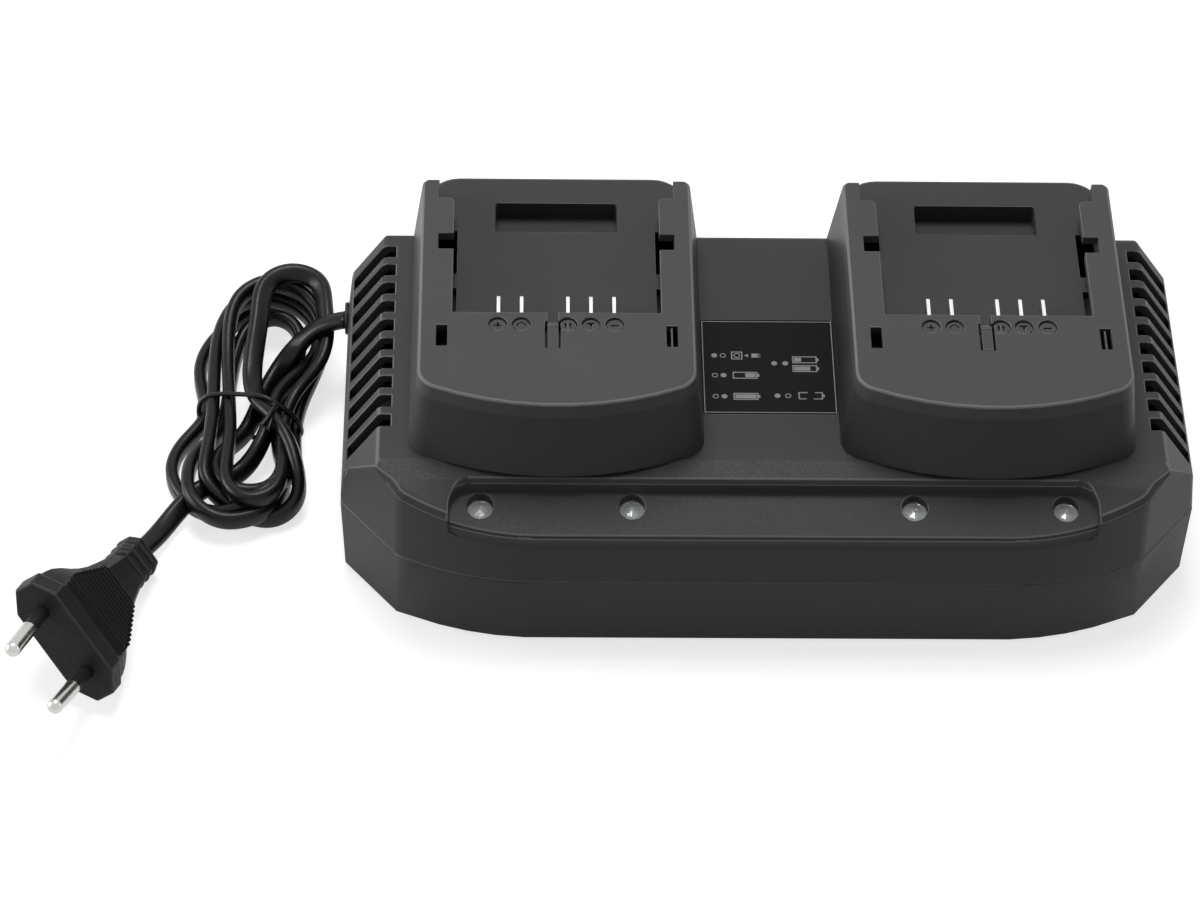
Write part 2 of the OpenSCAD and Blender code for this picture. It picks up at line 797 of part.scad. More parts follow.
module power_transistors() {
    color(black)
        for (side = [-1, 1])
            for (x = [-1, 1])
                translate([side * 38 + x * 8, sink_y - 4.4, 0]) {
                    box([-5, 0, board_top + 4], [5, 4.4, board_top + 14]);
                    for (leg = [-1, 0, 1])
                        box([leg * 2.54 - 0.4, 1.8, board_top], [leg * 2.54 + 0.4, 2.4, board_top + 4.2]);
                }
}

module bridge_rectifier() {
    color(black)
        union() {
            box([-47, back_y - 27, board_top + 3], [-43.4, back_y - 17, board_top + 15]);
            for (i = [0:3])
                box([-45.6, back_y - 26 + i * 2.5, board_top], [-44.8, back_y - 25.2 + i * 2.5, board_top + 3.2]);
        }
}

module mains_choke() {
    color([0.62, 0.32, 0.14])
        difference() {
            post(-72.3, board_front + 21, 13, board_top, board_top + 12);
            post(-72.3, board_front + 21, 5, board_top + 3, board_top + 12 + over);
        }
}

fuse_x = -68.8;

module fuse() {
    color([0.8, 0.82, 0.8])
        union() {
            translate([fuse_x, back_y - 34, board_top + 3.4])
                rotate([90, 0, 0])
                    cylinder(d = 5.2, h = 20, center = true);
            for (y = [-1, 1])
                box([fuse_x - 2.6, back_y - 34 + y * 8 - 1.2, board_top], [fuse_x + 2.6, back_y - 34 + y * 8 + 1.2, board_top + 3.4]);
        }
}

module control_chips() {
    color(black) {
        for (side = [-1, 1])
            box([side * 11 - 3, board_front + 14, board_top], [side * 11 + 3, board_front + 22, board_top + 1.8]);
        for (side = [-1, 1])
            box([side * 7 - 3.2, back_y - 26, board_top], [side * 7 + 3.2, back_y - 21.5, board_top + 3.6]);
    }
}

connector_x = -76.8;
connector_y = back_y - 30;
connector_half = 4.2;
connector_h = 9;

module mains_connector() {
    color([0.9, 0.9, 0.86])
        box([connector_x - connector_half, connector_y - connector_half - 1, board_top],
            [connector_x + connector_half, connector_y + connector_half + 1, board_top + connector_h]);
}

wire_d = 1.8;
wire_offsets = [-4, 0, 4];
output_connector_y = back_y - 61;

module output_connectors() {
    color([0.9, 0.9, 0.86])
        for (side = [-1, 1])
            box([side * bay_pitch / 2 - 7 + side * 10, output_connector_y - 2.6, board_top],
                [side * bay_pitch / 2 + 7 + side * 10, output_connector_y + 2.6, board_top + 7]);
}

// Wires from the output connector up through the window to the underside of the contact board.
module output_wires(side) {
    low = board_top + 7;
    color([0.7, 0.1, 0.08])
        for (x = wire_offsets)
            swept([[side * bay_pitch / 2 + side * 10 + x, output_connector_y, low],
                   [side * bay_pitch / 2 + side * 10 + x, output_connector_y, low + 5],
                   [side * bay_pitch / 2 + x, window_front + 6, top_z - 12],
                   [side * bay_pitch / 2 + x, window_front + 5, top_z - 4],
                   [side * bay_pitch / 2 + x, window_front + 5, contact_board_z]], wire_d, 8);
}

// ---------------------------------------------------------------- lead

// A tube along a route. Every ring lies across the route, turned by as little as the bends need.
function unit(v) = v / norm(v);
function heading(route, i) =
    unit(unit(route[min(i + 1, len(route) - 1)] - route[min(i, len(route) - 2)])
         + unit(route[max(i, 1)] - route[max(i - 1, 0)]));
function across_route(route, i) =
    let (h = heading(route, i), seed = i == 0 ? (abs(h[2]) > 0.9 ? [1, 0, 0] : [0, 0, 1]) : across_route(route, i - 1))
    unit(seed - (seed * h) * h);
function ring(route, i, d, sides) =
    let (u = across_route(route, i), v = cross(heading(route, i), u))
    [for (k = [0:sides - 1]) route[i] + d / 2 * (cos(360 * k / sides) * u + sin(360 * k / sides) * v)];

module swept(route, d, sides) {
    n = len(route);
    points = [for (i = [0:n - 1]) each ring(route, i, d, sides)];
    walls = [for (i = [0:n - 2]) for (k = [0:sides - 1])
        let (a = i * sides + k, b = i * sides + (k + 1) % sides)
        each [[a, b + sides, b], [a, a + sides, b + sides]]];
    ends = [[for (k = [0:sides - 1]) k], [for (k = [sides - 1:-1:0]) (n - 1) * sides + k]];
    polyhedron(points, concat(walls, ends));
}

relief_face_x = -(half_w + 1.3);
relief_z = parting_z;
relief_hole_d = 8.2;
relief_flange_d = 9.8;
relief_tail_l = 20;
relief_collar = wall + 1.3;
relief_joint = 1.5;     // where the free lead meets the inner lead, inside the bush

module along_lead(from_x, d1, d2, length) {
    translate([from_x, lead_y, relief_z])
        rotate([0, 90, 0])
            cylinder(d1 = d1, d2 = d2, h = length);
}

module relief_hole() {
    along_lead(relief_face_x, relief_hole_d + 0.2, relief_hole_d + 0.2, wall + draft + 4);
}

// Room for the inner flange, cut out of the shells' lips.
module relief_room() {
    along_lead(relief_face_x + relief_collar - 0.1, relief_flange_d + 0.4, relief_flange_d + 0.4, 5.2);
}

// Tapered bush: a small flange outside, a collar in the wall, a flange and a long tail inside.
module strain_relief() {
    color(black)
        difference() {
            union() {
                along_lead(relief_face_x, relief_flange_d - 1, relief_flange_d, 1.2);
                along_lead(relief_face_x + 1.1, relief_hole_d, relief_hole_d, relief_collar);
                along_lead(relief_face_x + relief_collar + 0.05, relief_flange_d, relief_flange_d, 1.5);
                along_lead(relief_face_x + relief_collar + 1.5, relief_flange_d - 1.6, lead_d + 1.6,
                           relief_tail_l - relief_collar - 1.5);
            }
            along_lead(relief_face_x - over, lead_d + 0.1, lead_d + 0.1, relief_tail_l + 2 * over);
        }
}

lead_low = clamp_post_top - lead_d / 2 + 0.3;
connector_lead_z = board_top + 5;
inner_route = [
    [relief_face_x + relief_joint, lead_y, relief_z],
    [relief_face_x + relief_tail_l * 0.5, lead_y, relief_z],
    [relief_face_x + relief_tail_l + 0.8, lead_y, relief_z],
    [relief_face_x + relief_tail_l + 2.6, lead_y - 1.6, relief_z - 1.8],
    [relief_face_x + relief_tail_l + 2, lead_y - 5, relief_z - 6],
    [clamp_x + 2.6, lead_y - 9, lead_low + 6],
    [clamp_x + 0.6, lead_y - 13, lead_low + 1.4],
    [clamp_x, clamp_y + 3.4, lead_low],
    [clamp_x, clamp_y - 3.4, lead_low],
    [clamp_x + 0.4, clamp_y - 6.6, lead_low + 2],
    [clamp_x + 1.8, clamp_y - 8.4, lead_low + 6.4],
    [clamp_x + 4.4, clamp_y - 7.6, connector_lead_z - 2.6],
    [clamp_x + 7.2, clamp_y - 5.4, connector_lead_z],
    [clamp_x + 10, connector_y, connector_lead_z],
    [connector_x - connector_half, connector_y, connector_lead_z]
];

module inner_lead() {
    color(black)
        swept(inner_route, lead_d, 12);
}

module lead_clamp() {
    low = clamp_post_top;
    color(black)
        difference() {
            box([clamp_x - clamp_span / 2 - 3, clamp_y - 3, low], [clamp_x + clamp_span / 2 + 3, clamp_y + 3, low + 3]);
            for (x = [-1, 1])
                post(clamp_x + x * clamp_span / 2, clamp_y, small_screw_d + 0.4, low - over, low + 3 + over);
            box([clamp_x - lead_d / 2 - 0.3, clamp_y - 3 - over, low - over],
                [clamp_x + lead_d / 2 + 0.3, clamp_y + 3 + over, lead_low + lead_d / 2 + 0.2]);
        }
}

module lead_clamp_screws() {
    color(steel)
        for (x = [-1, 1])
            screw_down(clamp_x + x * clamp_span / 2, clamp_y, clamp_post_top + 3, small_screw_d, small_head_d,
                       small_head_h, 8);
}

// The free lead: a short run to the hank, the hank, and the tail to the plug.
run_route = [[-108.3, 40.1, 23.5], [-111.6, 40.1, 23.5], [-114, 40.6, 22.2], [-116, 41.2, 20.6], [-118, 42, 18.6]];
tail_route = [[-146, -2, 3.6], [-149, -7.5, 3], [-152.5, -12.5, 2.8], [-156, -18, 2.8], [-159.2, -24, 3.8],
              [-160.3, -26.7, 4.7]];
hank_rear = [-132.5, 49];
hank_rear_r = 18;
hank_rear_h = 24;
hank_front = [-137, -6];
hank_front_r = 19;
hank_front_h = 15;
hank_waist_w = 24;
hank_waist_low = 2;
hank_waist_h = 12;
tie_y = 21;
tie_w = 2.4;
tie_t = 1.2;

module lead_run() {
    color(black)
        swept(run_route, lead_d, 12);
}

module lead_tail() {
    color(black)
        swept(tail_route, lead_d, 12);
}

module lead_hank() {
    x = (hank_rear[0] + hank_front[0]) / 2;
    color(black)
        union() {
            post(hank_rear[0], hank_rear[1], 2 * hank_rear_r, 0, hank_rear_h);
            post(hank_front[0], hank_front[1], 2 * hank_front_r, 0, hank_front_h);
            box([x - hank_waist_w / 2, hank_front[1], hank_waist_low],
                [x + hank_waist_w / 2, hank_rear[1], hank_waist_low + hank_waist_h]);
        }
}

module lead_tie() {
    x = (hank_rear[0] + hank_front[0]) / 2;
    inner_x = hank_waist_w / 2 + 0.2;
    low = hank_waist_low - 0.2;
    high = hank_waist_low + hank_waist_h + 0.2;
    color(black)
        union() {
            difference() {
                box([x - inner_x - tie_t, tie_y - tie_w / 2, low - tie_t], [x + inner_x + tie_t, tie_y + tie_w / 2, high + tie_t]);
                box([x - inner_x, tie_y - tie_w, low], [x + inner_x, tie_y + tie_w, high]);
            }
            translate([x + 4, tie_y - tie_w / 2 + 0.4, high + tie_t - 0.2])
                rotate([70, 0, 35])
                    cylinder(d = 1.8, h = 9);
        }
}

// ---------------------------------------------------------------- plug

plug_face = [-175.5, -68, 18];
plug_turn = [24, -44.5, 142.5];
plug_flange_l = 5.5;
plug_neck_from = 35;
plug_l = 46;
neck_w = 11;
neck_t = 8.6;
pin_lean = 1.66;       // the pins close in towards their tips
pin_in = 6;            // how far a pin is set into the plug
pin_core_d = 2.8;      // a pin's diameter inside its sleeve
pin_root_d = 3.4;      // its diameter inside the plug
sleeve_step = 0.4;     // how much thinner a sleeve is than the bare pin

module in_plug() {
    translate(plug_face)
        rotate(plug_turn)
            children();
}

// The plug's six-sided outline, in X and Z.
module plug_slice(w, t, y, length) {
    tip = t * 0.2;
    flat = w * 0.34;
    translate([0, y, 0])
        rotate([90, 0, 0])
            linear_extrude(length)
                polygon([[w / 2, -tip], [w / 2, tip], [flat, t / 2], [-flat, t / 2], [-w / 2, tip], [-w / 2, -tip],
                         [-flat, -t / 2], [flat, -t / 2]]);
}

module plug_body() {
    w = plug_w - 1.6;
    t = plug_t - 1;
    color(black)
        in_plug()
            difference() {
                union() {
                    plug_slice(plug_w, plug_t, 0, plug_flange_l);
                    hull() {
                        plug_slice(w, t, -plug_flange_l + sliver, sliver);
                        plug_slice(w - 2, t, -plug_flange_l - 5, sliver);
                    }
                    hull() {
                        plug_slice(w - 2, t, -plug_flange_l - 5, sliver);
                        plug_slice(w * 0.62, t - 1.6, -plug_flange_l - 14, sliver);
                    }
                    hull() {
                        plug_slice(w * 0.62, t - 1.6, -plug_flange_l - 14, sliver);
                        plug_slice(neck_w, neck_t, -plug_neck_from, sliver);
                    }
                    for (i = [0:2])
                        plug_slice(neck_w + 0.6, neck_t + 0.4, -plug_neck_from - 0.6 - i * 3.6, 2.4);
                    plug_slice(neck_w - 2, neck_t - 1.6, -plug_neck_from, plug_l - plug_neck_from);
                }
                at_pins()
                    translate([0, 0, -pin_in])
                        cylinder(d = pin_root_d + 0.05, h = pin_in + over);
            }
}

// Both pin axes, with z along the pin and z = 0 at the plug's face.
module at_pins() {
    for (side = [-1, 1])
        translate([side * pin_pitch / 2, 0, 0])
            rotate([-90, 0, 0])
                rotate([0, -side * pin_lean, 0])
                    children();
}

module plug_pins() {
    color(bright)
        in_plug()
            at_pins()
                union() {
                    translate([0, 0, -pin_in])
                        cylinder(d = pin_root_d, h = pin_in - 0.5);
                    translate([0, 0, -1])
                        cylinder(d = pin_core_d, h = sleeve_l + 2);
                    translate([0, 0, sleeve_l])
                        cylinder(d = pin_d, h = pin_l - sleeve_l - pin_d / 2);
                    translate([0, 0, pin_l - pin_d / 2])
                        sphere(d = pin_d);
                }
}

module plug_sleeves() {
    color(black)
        in_plug()
            at_pins()
                difference() {
                    translate([0, 0, -0.5])
                        cylinder(d = pin_d - sleeve_step, h = sleeve_l + 0.5);
                    translate([0, 0, -over])
                        cylinder(d = pin_core_d + 0.04, h = sleeve_l + 2 * over);
                }
}

// ---------------------------------------------------------------- assembly

lower_housing();
upper_housing();
at_bay(-1) dock();  // left_dock
at_bay(1) dock();  // right_dock
at_bay(-1) tongue();  // left_tongue
at_bay(1) tongue();  // right_tongue
at_bay(-1) contact_blades();  // left_contact_blades
at_bay(1) contact_blades();  // right_contact_blades
at_bay(-1) terminal_block();  // left_terminal_block
at_bay(1) terminal_block();  // right_terminal_block
at_bay(-1) contact_board();  // left_contact_board
at_bay(1) contact_board();  // right_contact_board
output_wires(-1);  // left_output_wires
output_wires(1);  // right_output_wires
label_panel();
lamp_lenses();
lamp_diodes();
lamp_board();
lamp_ribbon();
main_board();
transformer_cores();
transformer_windings();
bulk_capacitors();
output_capacitors();
heat_sinks();
power_transistors();
bridge_rectifier();
mains_choke();
fuse();
control_chips();
mains_connector();
output_connectors();
rubber_feet();
housing_screws();
dock_screws();
contact_board_screws();
main_board_screws();
lamp_board_screws();
strain_relief();
inner_lead();
lead_clamp();
lead_clamp_screws();
lead_run();
lead_hank();
lead_tie();
lead_tail();
plug_body();
plug_pins();
plug_sleeves();
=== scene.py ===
"""Charger with two battery bays and a tied mains lead: its looks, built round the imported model."""
import math
from functools import partial

import bmesh
import bpy
from mathutils import Euler, Matrix, Vector


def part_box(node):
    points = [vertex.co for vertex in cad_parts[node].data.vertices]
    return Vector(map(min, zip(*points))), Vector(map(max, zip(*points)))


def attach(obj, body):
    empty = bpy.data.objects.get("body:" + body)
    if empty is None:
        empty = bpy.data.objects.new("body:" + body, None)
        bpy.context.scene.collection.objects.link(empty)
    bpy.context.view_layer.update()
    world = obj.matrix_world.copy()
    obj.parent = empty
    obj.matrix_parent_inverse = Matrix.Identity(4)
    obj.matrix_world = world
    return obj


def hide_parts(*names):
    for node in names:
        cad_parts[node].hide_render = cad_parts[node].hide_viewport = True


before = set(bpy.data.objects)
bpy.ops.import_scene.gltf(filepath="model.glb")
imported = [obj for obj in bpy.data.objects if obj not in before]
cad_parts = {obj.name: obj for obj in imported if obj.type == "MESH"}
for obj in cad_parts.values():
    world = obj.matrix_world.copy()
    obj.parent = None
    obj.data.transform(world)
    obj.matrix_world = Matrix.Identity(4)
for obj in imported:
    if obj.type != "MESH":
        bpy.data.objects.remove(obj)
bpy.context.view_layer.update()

bl_info = {
    "name": "Two-bay battery charger",
    "version": (1, 0, 0),
    "blender": (4, 5, 0),
    "location": "3D View > Sidebar > Charger",
    "description": "Builds the charger's housings, docks, lead, plug and finishes in the packed frame",
    "category": "Object",
}

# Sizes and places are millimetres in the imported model's frame, unless a comment or the panel gives metres.
MM = 0.001
CHARGER = "charger"
SIDES = ((-1, "left"), (1, "right"))
DOCK_X = 54


def linear(code):
    """An sRGB hex value as the linear colour that a shader takes."""
    parts = [int(code[i:i + 2], 16) / 255 for i in (0, 2, 4)]
    return tuple(p / 12.92 if p <= 0.04045 else ((p + 0.055) / 1.055) ** 2.4 for p in parts)


def distance(name, description, default, least=0.0):
    """A size in metres that the panel shows."""
    return bpy.props.FloatProperty(
        name=name, description=description, default=default, min=least, unit="LENGTH")


def colour(name, description, code):
    """A colour that the panel shows, from its sRGB hex value."""
    return bpy.props.FloatVectorProperty(
        name=name, description=description, default=linear(code), size=3, min=0.0, max=1.0, subtype="COLOR")


class ChargerSizes(bpy.types.PropertyGroup):
    """Sizes that a user would change."""

    wall: distance("Wall", "Thickness of the moulded walls", 0.0025, 0.001)
    edge: distance("Edge", "Softness of the small moulded edges", 0.0003)
    corner: distance("Corner", "Radius of the housing's upright front corners", 0.0015)
    lip: distance("Front lip", "Radius of the roll in front of the lamp recess", 0.0022)
    bead: distance("Bead", "Width of the narrow flat round the front corners' tops", 0.0013)
    dock_edge: distance("Dock edge", "Radius round each dock's top", 0.0006)
    vents: bpy.props.IntProperty(
        name="Vents", description="Number of vent slots on each sloping side", default=10, min=1, max=12)
    vent_pitch: distance("Vent pitch", "Distance from one vent slot to the next", 0.0067, 0.005)
    lead_width: distance("Lead width", "Width of the flat twin lead", 0.0054, 0.003)
    lead_thick: distance("Lead thickness", "Thickness of the flat twin lead", 0.0034, 0.002)
    grips: bpy.props.IntProperty(
        name="Grip ribs", description="Number of grip ribs on each flat side of the plug", default=12, min=2,
        max=16)


class ChargerColours(bpy.types.PropertyGroup):
    """Colours that a user would change."""

    shell: colour("Housing", "Moulded housing plastic", "404041")
    # Lighter than the housing's though the plastic is the same: painted light, for the docks stand higher
    # and less shaded.
    dock: colour("Dock", "Moulded dock plastic", "505051")
    lead: colour("Lead", "Sheath of the mains lead", "101010")
    plug: colour("Plug", "Body of the mains plug", "151515")
    film: colour("Label film", "Ground of the label", "110f10")
    print: colour("Label print", "Icons on the label", "8c8c8c")


# ---- handling


def deselect():
    """Leaves edit mode and selects nothing."""
    if bpy.context.object and bpy.context.object.mode != "OBJECT":
        bpy.ops.object.mode_set(mode="OBJECT")
    bpy.ops.object.select_all(action="DESELECT")


def choose(piece, *others):
    """Selects these objects only, the first one active."""
    deselect()
    for each in (piece, *others):
        each.select_set(True)
    bpy.context.view_layer.objects.active = piece
    return piece


def opened(piece, action="SELECT"):
    """Opens the piece for editing, with everything or nothing in it selected."""
    choose(piece)
    bpy.ops.object.mode_set(mode="EDIT")
    bpy.ops.mesh.select_all(action=action)


def closed(piece):
    """Leaves edit mode."""
    bpy.ops.object.mode_set(mode="OBJECT")
    return piece


def fix_place(piece):
    """Moves an object's place, turn and scale into its mesh."""
    choose(piece)
    bpy.ops.object.transform_apply(location=True, rotation=True, scale=True)
    return piece


def block(low, high):
    """A box drawn between two corners."""
    low, high = Vector(low) * MM, Vector(high) * MM
    deselect()
    bpy.ops.mesh.primitive_cube_add(size=1, location=(low + high) / 2)
    piece = bpy.context.object
    piece.scale = high - low
    return fix_place(piece)


def rod(base, top, radius, top_radius=None, sides=32):
    """A round bar or cone between two points."""
    base, top = Vector(base) * MM, Vector(top) * MM
    deselect()
    bpy.ops.mesh.primitive_cone_add(
        vertices=sides, radius1=radius * MM, radius2=(radius if top_radius is None else top_radius) * MM,
        depth=(top - base).length, location=(base + top) / 2,
        rotation=(top - base).to_track_quat("Z", "Y").to_euler())
    return fix_place(bpy.context.object)


def post(x, y, low, high, radius, top_radius=None, sides=32):
    """A round bar or cone that stands upright between two heights."""
    return rod((x, y, low), (x, y, high), radius, top_radius, sides)


def pick_edges(piece, test):
    """Opens the piece, selects the edges whose two ends and face normals pass the test, and counts them."""
    opened(piece, "DESELECT")
    bpy.ops.mesh.select_mode(type="EDGE")
    mesh = bmesh.from_edit_mesh(piece.data)
    found = 0
    for edge in mesh.edges:
        a, b = (v.co / MM for v in edge.verts)
        hit = bool(test(a, b, [f.normal for f in edge.link_faces]))
        edge.select_set(hit)
        found += hit
    bmesh.update_edit_mesh(piece.data)
    return found


def pick_faces(piece, test):
    """Opens the piece and selects the faces whose middle and normal pass the test."""
    opened(piece, "DESELECT")
    bpy.ops.mesh.select_mode(type="FACE")
    mesh = bmesh.from_edit_mesh(piece.data)
    for face in mesh.faces:
        face.select_set(bool(test(face.calc_center_median() / MM, face.normal)))
    bmesh.update_edit_mesh(piece.data)


def round_edges(piece, width, test, segments=3):
    """Bevels the edges that pass the test."""
    if pick_edges(piece, test):
        bpy.ops.mesh.bevel(
            offset=width * MM, segments=segments, profile=0.5, affect="EDGES", clamp_overlap=False)
    return closed(piece)


def slice_off(piece, through, away):
    """Cuts the piece by a plane and closes it; what lies on the side that away points to goes."""
    opened(piece)
    bpy.ops.mesh.bisect(
        plane_co=Vector(through) * MM, plane_no=Vector(away).normalized(), use_fill=True, clear_outer=True,
        threshold=1e-6)
    return closed(piece)


def joined(pieces):
    """Several objects as one."""
    pieces = list(pieces)
    choose(*pieces)
    if len(pieces) > 1:
        bpy.ops.object.join()
    return bpy.context.object


def carve(piece, cutter, operation="DIFFERENCE", crossing=False):
    """Cuts or joins the piece with another, which is used up; crossing is for one whose parts overlap."""
    cut = piece.modifiers.new("carve", "BOOLEAN")
    cut.object, cut.operation, cut.solver, cut.use_self = cutter, operation, "EXACT", crossing
    choose(piece)
    bpy.ops.object.modifier_apply(modifier=cut.name)
    bpy.data.objects.remove(cutter)
    return piece


def weld(piece, *others):
    """Makes the piece and the others one solid."""
    for other in others:
        carve(piece, other, "UNION")
    return piece


def copied(piece, by=(0, 0, 0), across=False):
    """A copy with its own mesh, moved, or mirrored across the middle plane first."""
    twin = piece.copy()
    twin.data = piece.data.copy()
    bpy.context.collection.objects.link(twin)
    if across:
        twin.scale = (-1, 1, 1)
        fix_place(twin)
        face_out(twin)
    twin.location = Vector(by) * MM
    return fix_place(twin)


def face_out(piece, merge=1e-6):
    """Merges doubles, nearer than merge in metres, and turns every face outwards."""
    opened(piece)
    bpy.ops.mesh.remove_doubles(threshold=merge)
    bpy.ops.mesh.normals_make_consistent(inside=False)
    return closed(piece)


def merge_flats(piece):
    """Makes one face of the faces that lie in one plane."""
    opened(piece)
    bpy.ops.mesh.dissolve_limited(angle_limit=math.radians(0.6))
    return closed(piece)


# A fillet is a strip narrower than this, in metres, whose neighbours fall away from it by this share of its
# length. A face whose normal rises past the last number is a top and not a fillet.
FILLET_WIDTH, FILLET_FALL, FACES_UP = 0.0006, 2e-5, 0.985


def mark_highlit_fillets(piece, lowest):
    """Gives each face the value of its painted highlight: 1 on narrow fillets that stand out and face up, 0
    elsewhere.

    lowest is the least upward part of the normal that a face with the painted highlight has."""
    mesh = bmesh.new()
    mesh.from_mesh(piece.data)
    highlit = []
    for face in mesh.faces:
        longest = max(edge.calc_length() for edge in face.edges)
        middle, rise = face.calc_center_median(), 0.0
        if face.calc_area() < FILLET_WIDTH * longest and lowest < face.normal.z < FACES_UP:
            rise = sum((other.calc_center_median() - middle).dot(face.normal) * edge.calc_length()
                       for edge in face.edges for other in edge.link_faces if other is not face)
        highlit.append(1.0 if rise < -FILLET_FALL * longest else 0.0)
    mesh.free()
    piece.data.attributes.new("painted_highlight", "FLOAT", "FACE").data.foreach_set("value", highlit)


def soften(piece, soft, angle=30, merge=1e-6, least_highlit_rise=0.3):
    """Cleans a piece, rounds its edges sharper than angle, marks the fillets that get a painted highlight,
    and shades it.
    """
    face_out(piece, merge)
    merge_flats(piece)
    if soft:
        edge = piece.modifiers.new("soft edges", "BEVEL")
        edge.width, edge.segments, edge.limit_method = soft * MM, 2, "ANGLE"
        edge.angle_limit, edge.use_clamp_overlap = math.radians(angle), False
        bpy.ops.object.modifier_apply(modifier=edge.name)
    # Marks the fillets that get a painted highlight in the finish.
    mark_highlit_fillets(piece, least_highlit_rise)
    bpy.ops.object.shade_smooth_by_angle(angle=math.radians(38))
    level = piece.modifiers.new("flat faces stay flat", "WEIGHTED_NORMAL")
    level.keep_sharp, level.weight = True, 60
    bpy.ops.object.modifier_apply(modifier=level.name)
    return piece


def hand_over(piece, name, finish, stands_for=(), body=CHARGER):
    """Names a piece, gives it its finish, puts it under its body's empty, and hides the imported parts that
    it stands for.
    """
    piece.name = piece.data.name = name
    piece.data.materials.clear()
    piece.data.materials.append(FINISHES[finish])
    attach(piece, body)
    if stands_for:
        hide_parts(*stands_for)
    return piece


# ---- finishes

FINISHES = {}
# The colour sockets of a Mix node.
MIX_A, MIX_B, MIX_OUT = 6, 7, 2


def add(tree, kind, links=None, **settings):
    """Adds a shader node with its settings; links gives a value or another node's socket for each input."""
    node = tree.nodes.new("ShaderNode" + kind)
    for key, value in settings.items():
        setattr(node, key, value)
    for key, value in (links or {}).items():
        if isinstance(value, bpy.types.NodeSocket):
            tree.links.new(value, node.inputs[key])
        else:
            node.inputs[key].default_value = value
    return node


def blank(owner):
    """Empties the node tree of a finish or of the world, and gives back what adds nodes to it."""
    owner.use_nodes = True
    owner.node_tree.nodes.clear()
    return partial(add, owner.node_tree)


def fresh(name, **constants):
    """An empty finish, what adds nodes to it, and its shader, which holds what is the same all over."""
    finish = bpy.data.materials.new(name)
    put = blank(finish)
    shader = put("BsdfPrincipled", {key.replace("_", " "): value for key, value in constants.items()})
    put("OutputMaterial", {0: shader.outputs[0]})
    return finish, put, shader, put("TexCoord").outputs["Object"]


def settle(finish, shader, body, gloss, bump):
    """Runs the colour's socket, and the nodes of the gloss and the relief, into the shader."""
    links, inputs = finish.node_tree.links, shader.inputs
    links.new(body, inputs["Base Color"])
    if gloss:
        links.new(gloss.outputs[0], inputs["Roughness"])
    links.new(bump.outputs[0], inputs["Normal"])
    return finish


def shade_of(code, factor=1.0):
    """A colour, lighter or darker by a factor."""
    base = linear(code) if isinstance(code, str) else tuple(code)
    return tuple(min(1.0, c * factor) for c in base) + (1.0,)


def plastic(name, code, rough, spread, grain, height, cloud=0.025, drift=0.08, shine=0.25, shaded_below=None,
            highlight_gain=0.0):
    """Moulded or sparked plastic: soft clouding in the colour, and a fine grain from the mould's skin.

    grain and cloud are the sizes of the grain and the clouding, and height the grain's depth, in metres."""
    finish, put, shader, place = fresh(name, IOR=1.53, Specular_IOR_Level=shine)
    patches = put("TexNoise", {"Vector": place, "Scale": 1 / cloud, "Detail": 4.0})
    pale, deep = shade_of(code, 1 + drift), shade_of(code, 1 - drift)
    body = put("Mix", {"Factor": patches.outputs["Fac"], MIX_A: deep, MIX_B: pale}, data_type="RGBA")
    body = body.outputs[MIX_OUT]
    pits = put("TexNoise", {"Vector": place, "Scale": 1 / grain, "Detail": 3.0, "Roughness": 0.6})
    dull = put("MapRange", {
        "Value": pits.outputs["Fac"], "From Min": 0.35, "From Max": 0.65, "To Min": rough - spread,
        "To Max": rough + spread})
    bump = put("Bump", {"Height": pits.outputs["Fac"], "Strength": 1.0, "Distance": height})
    if highlight_gain:
        # Painted highlight: the fillets that stand out and face up are painted paler than the faces between
        # them, standing in for the light that they catch.
        edge = put("Attribute", attribute_name="painted_highlight")
        paler = put("MapRange", {"Value": edge.outputs["Fac"], "To Min": 1.0, "To Max": 1.0 + highlight_gain})
        body = put("VectorMath", {0: body, "Scale": paler.outputs[0]}, operation="SCALE").outputs[0]
    if shaded_below:
        # Painted shade: below this height the colour is painted darker, standing in for the shade down in
        # the pocket where the packs slide.
        rise = put("SeparateXYZ", {0: place})
        painted_pocket_shade = put("MapRange", {
            "Value": rise.outputs["Z"], "From Min": shaded_below, "From Max": shaded_below + MM, "To Min": 0.7,
            "To Max": 1.0})
        body = put("VectorMath", {0: body, "Scale": painted_pocket_shade.outputs[0]}, operation="SCALE").outputs[0]
    return settle(finish, shader, body, dull, bump)


def plated(name, code, rough, stretch, grain):
    """Bare or plated metal: drawn or brushed streaks in its gloss, with a little tarnish in its colour."""
    finish, put, shader, place = fresh(name, Metallic=1.0)
    along = put("Mapping", {"Vector": place, "Scale": stretch})
    streaks = put("TexNoise", {"Vector": along.outputs[0], "Scale": 1 / grain, "Detail": 2.0})
    stain = put("TexNoise", {"Vector": place, "Scale": 160.0, "Detail": 3.0})
    tint = put("Mix", {
        "Factor": stain.outputs["Fac"], MIX_A: shade_of(code, 0.86), MIX_B: shade_of(code, 1.05)},
        data_type="RGBA").outputs[MIX_OUT]
    gloss = put("MapRange", {
        "Value": streaks.outputs["Fac"], "From Min": 0.3, "From Max": 0.7, "To Min": rough * 0.75,
        "To Max": rough * 1.35})
    bump = put("Bump", {"Height": streaks.outputs["Fac"], "Distance": 0.000004})
    return settle(finish, shader, tint, gloss, bump)


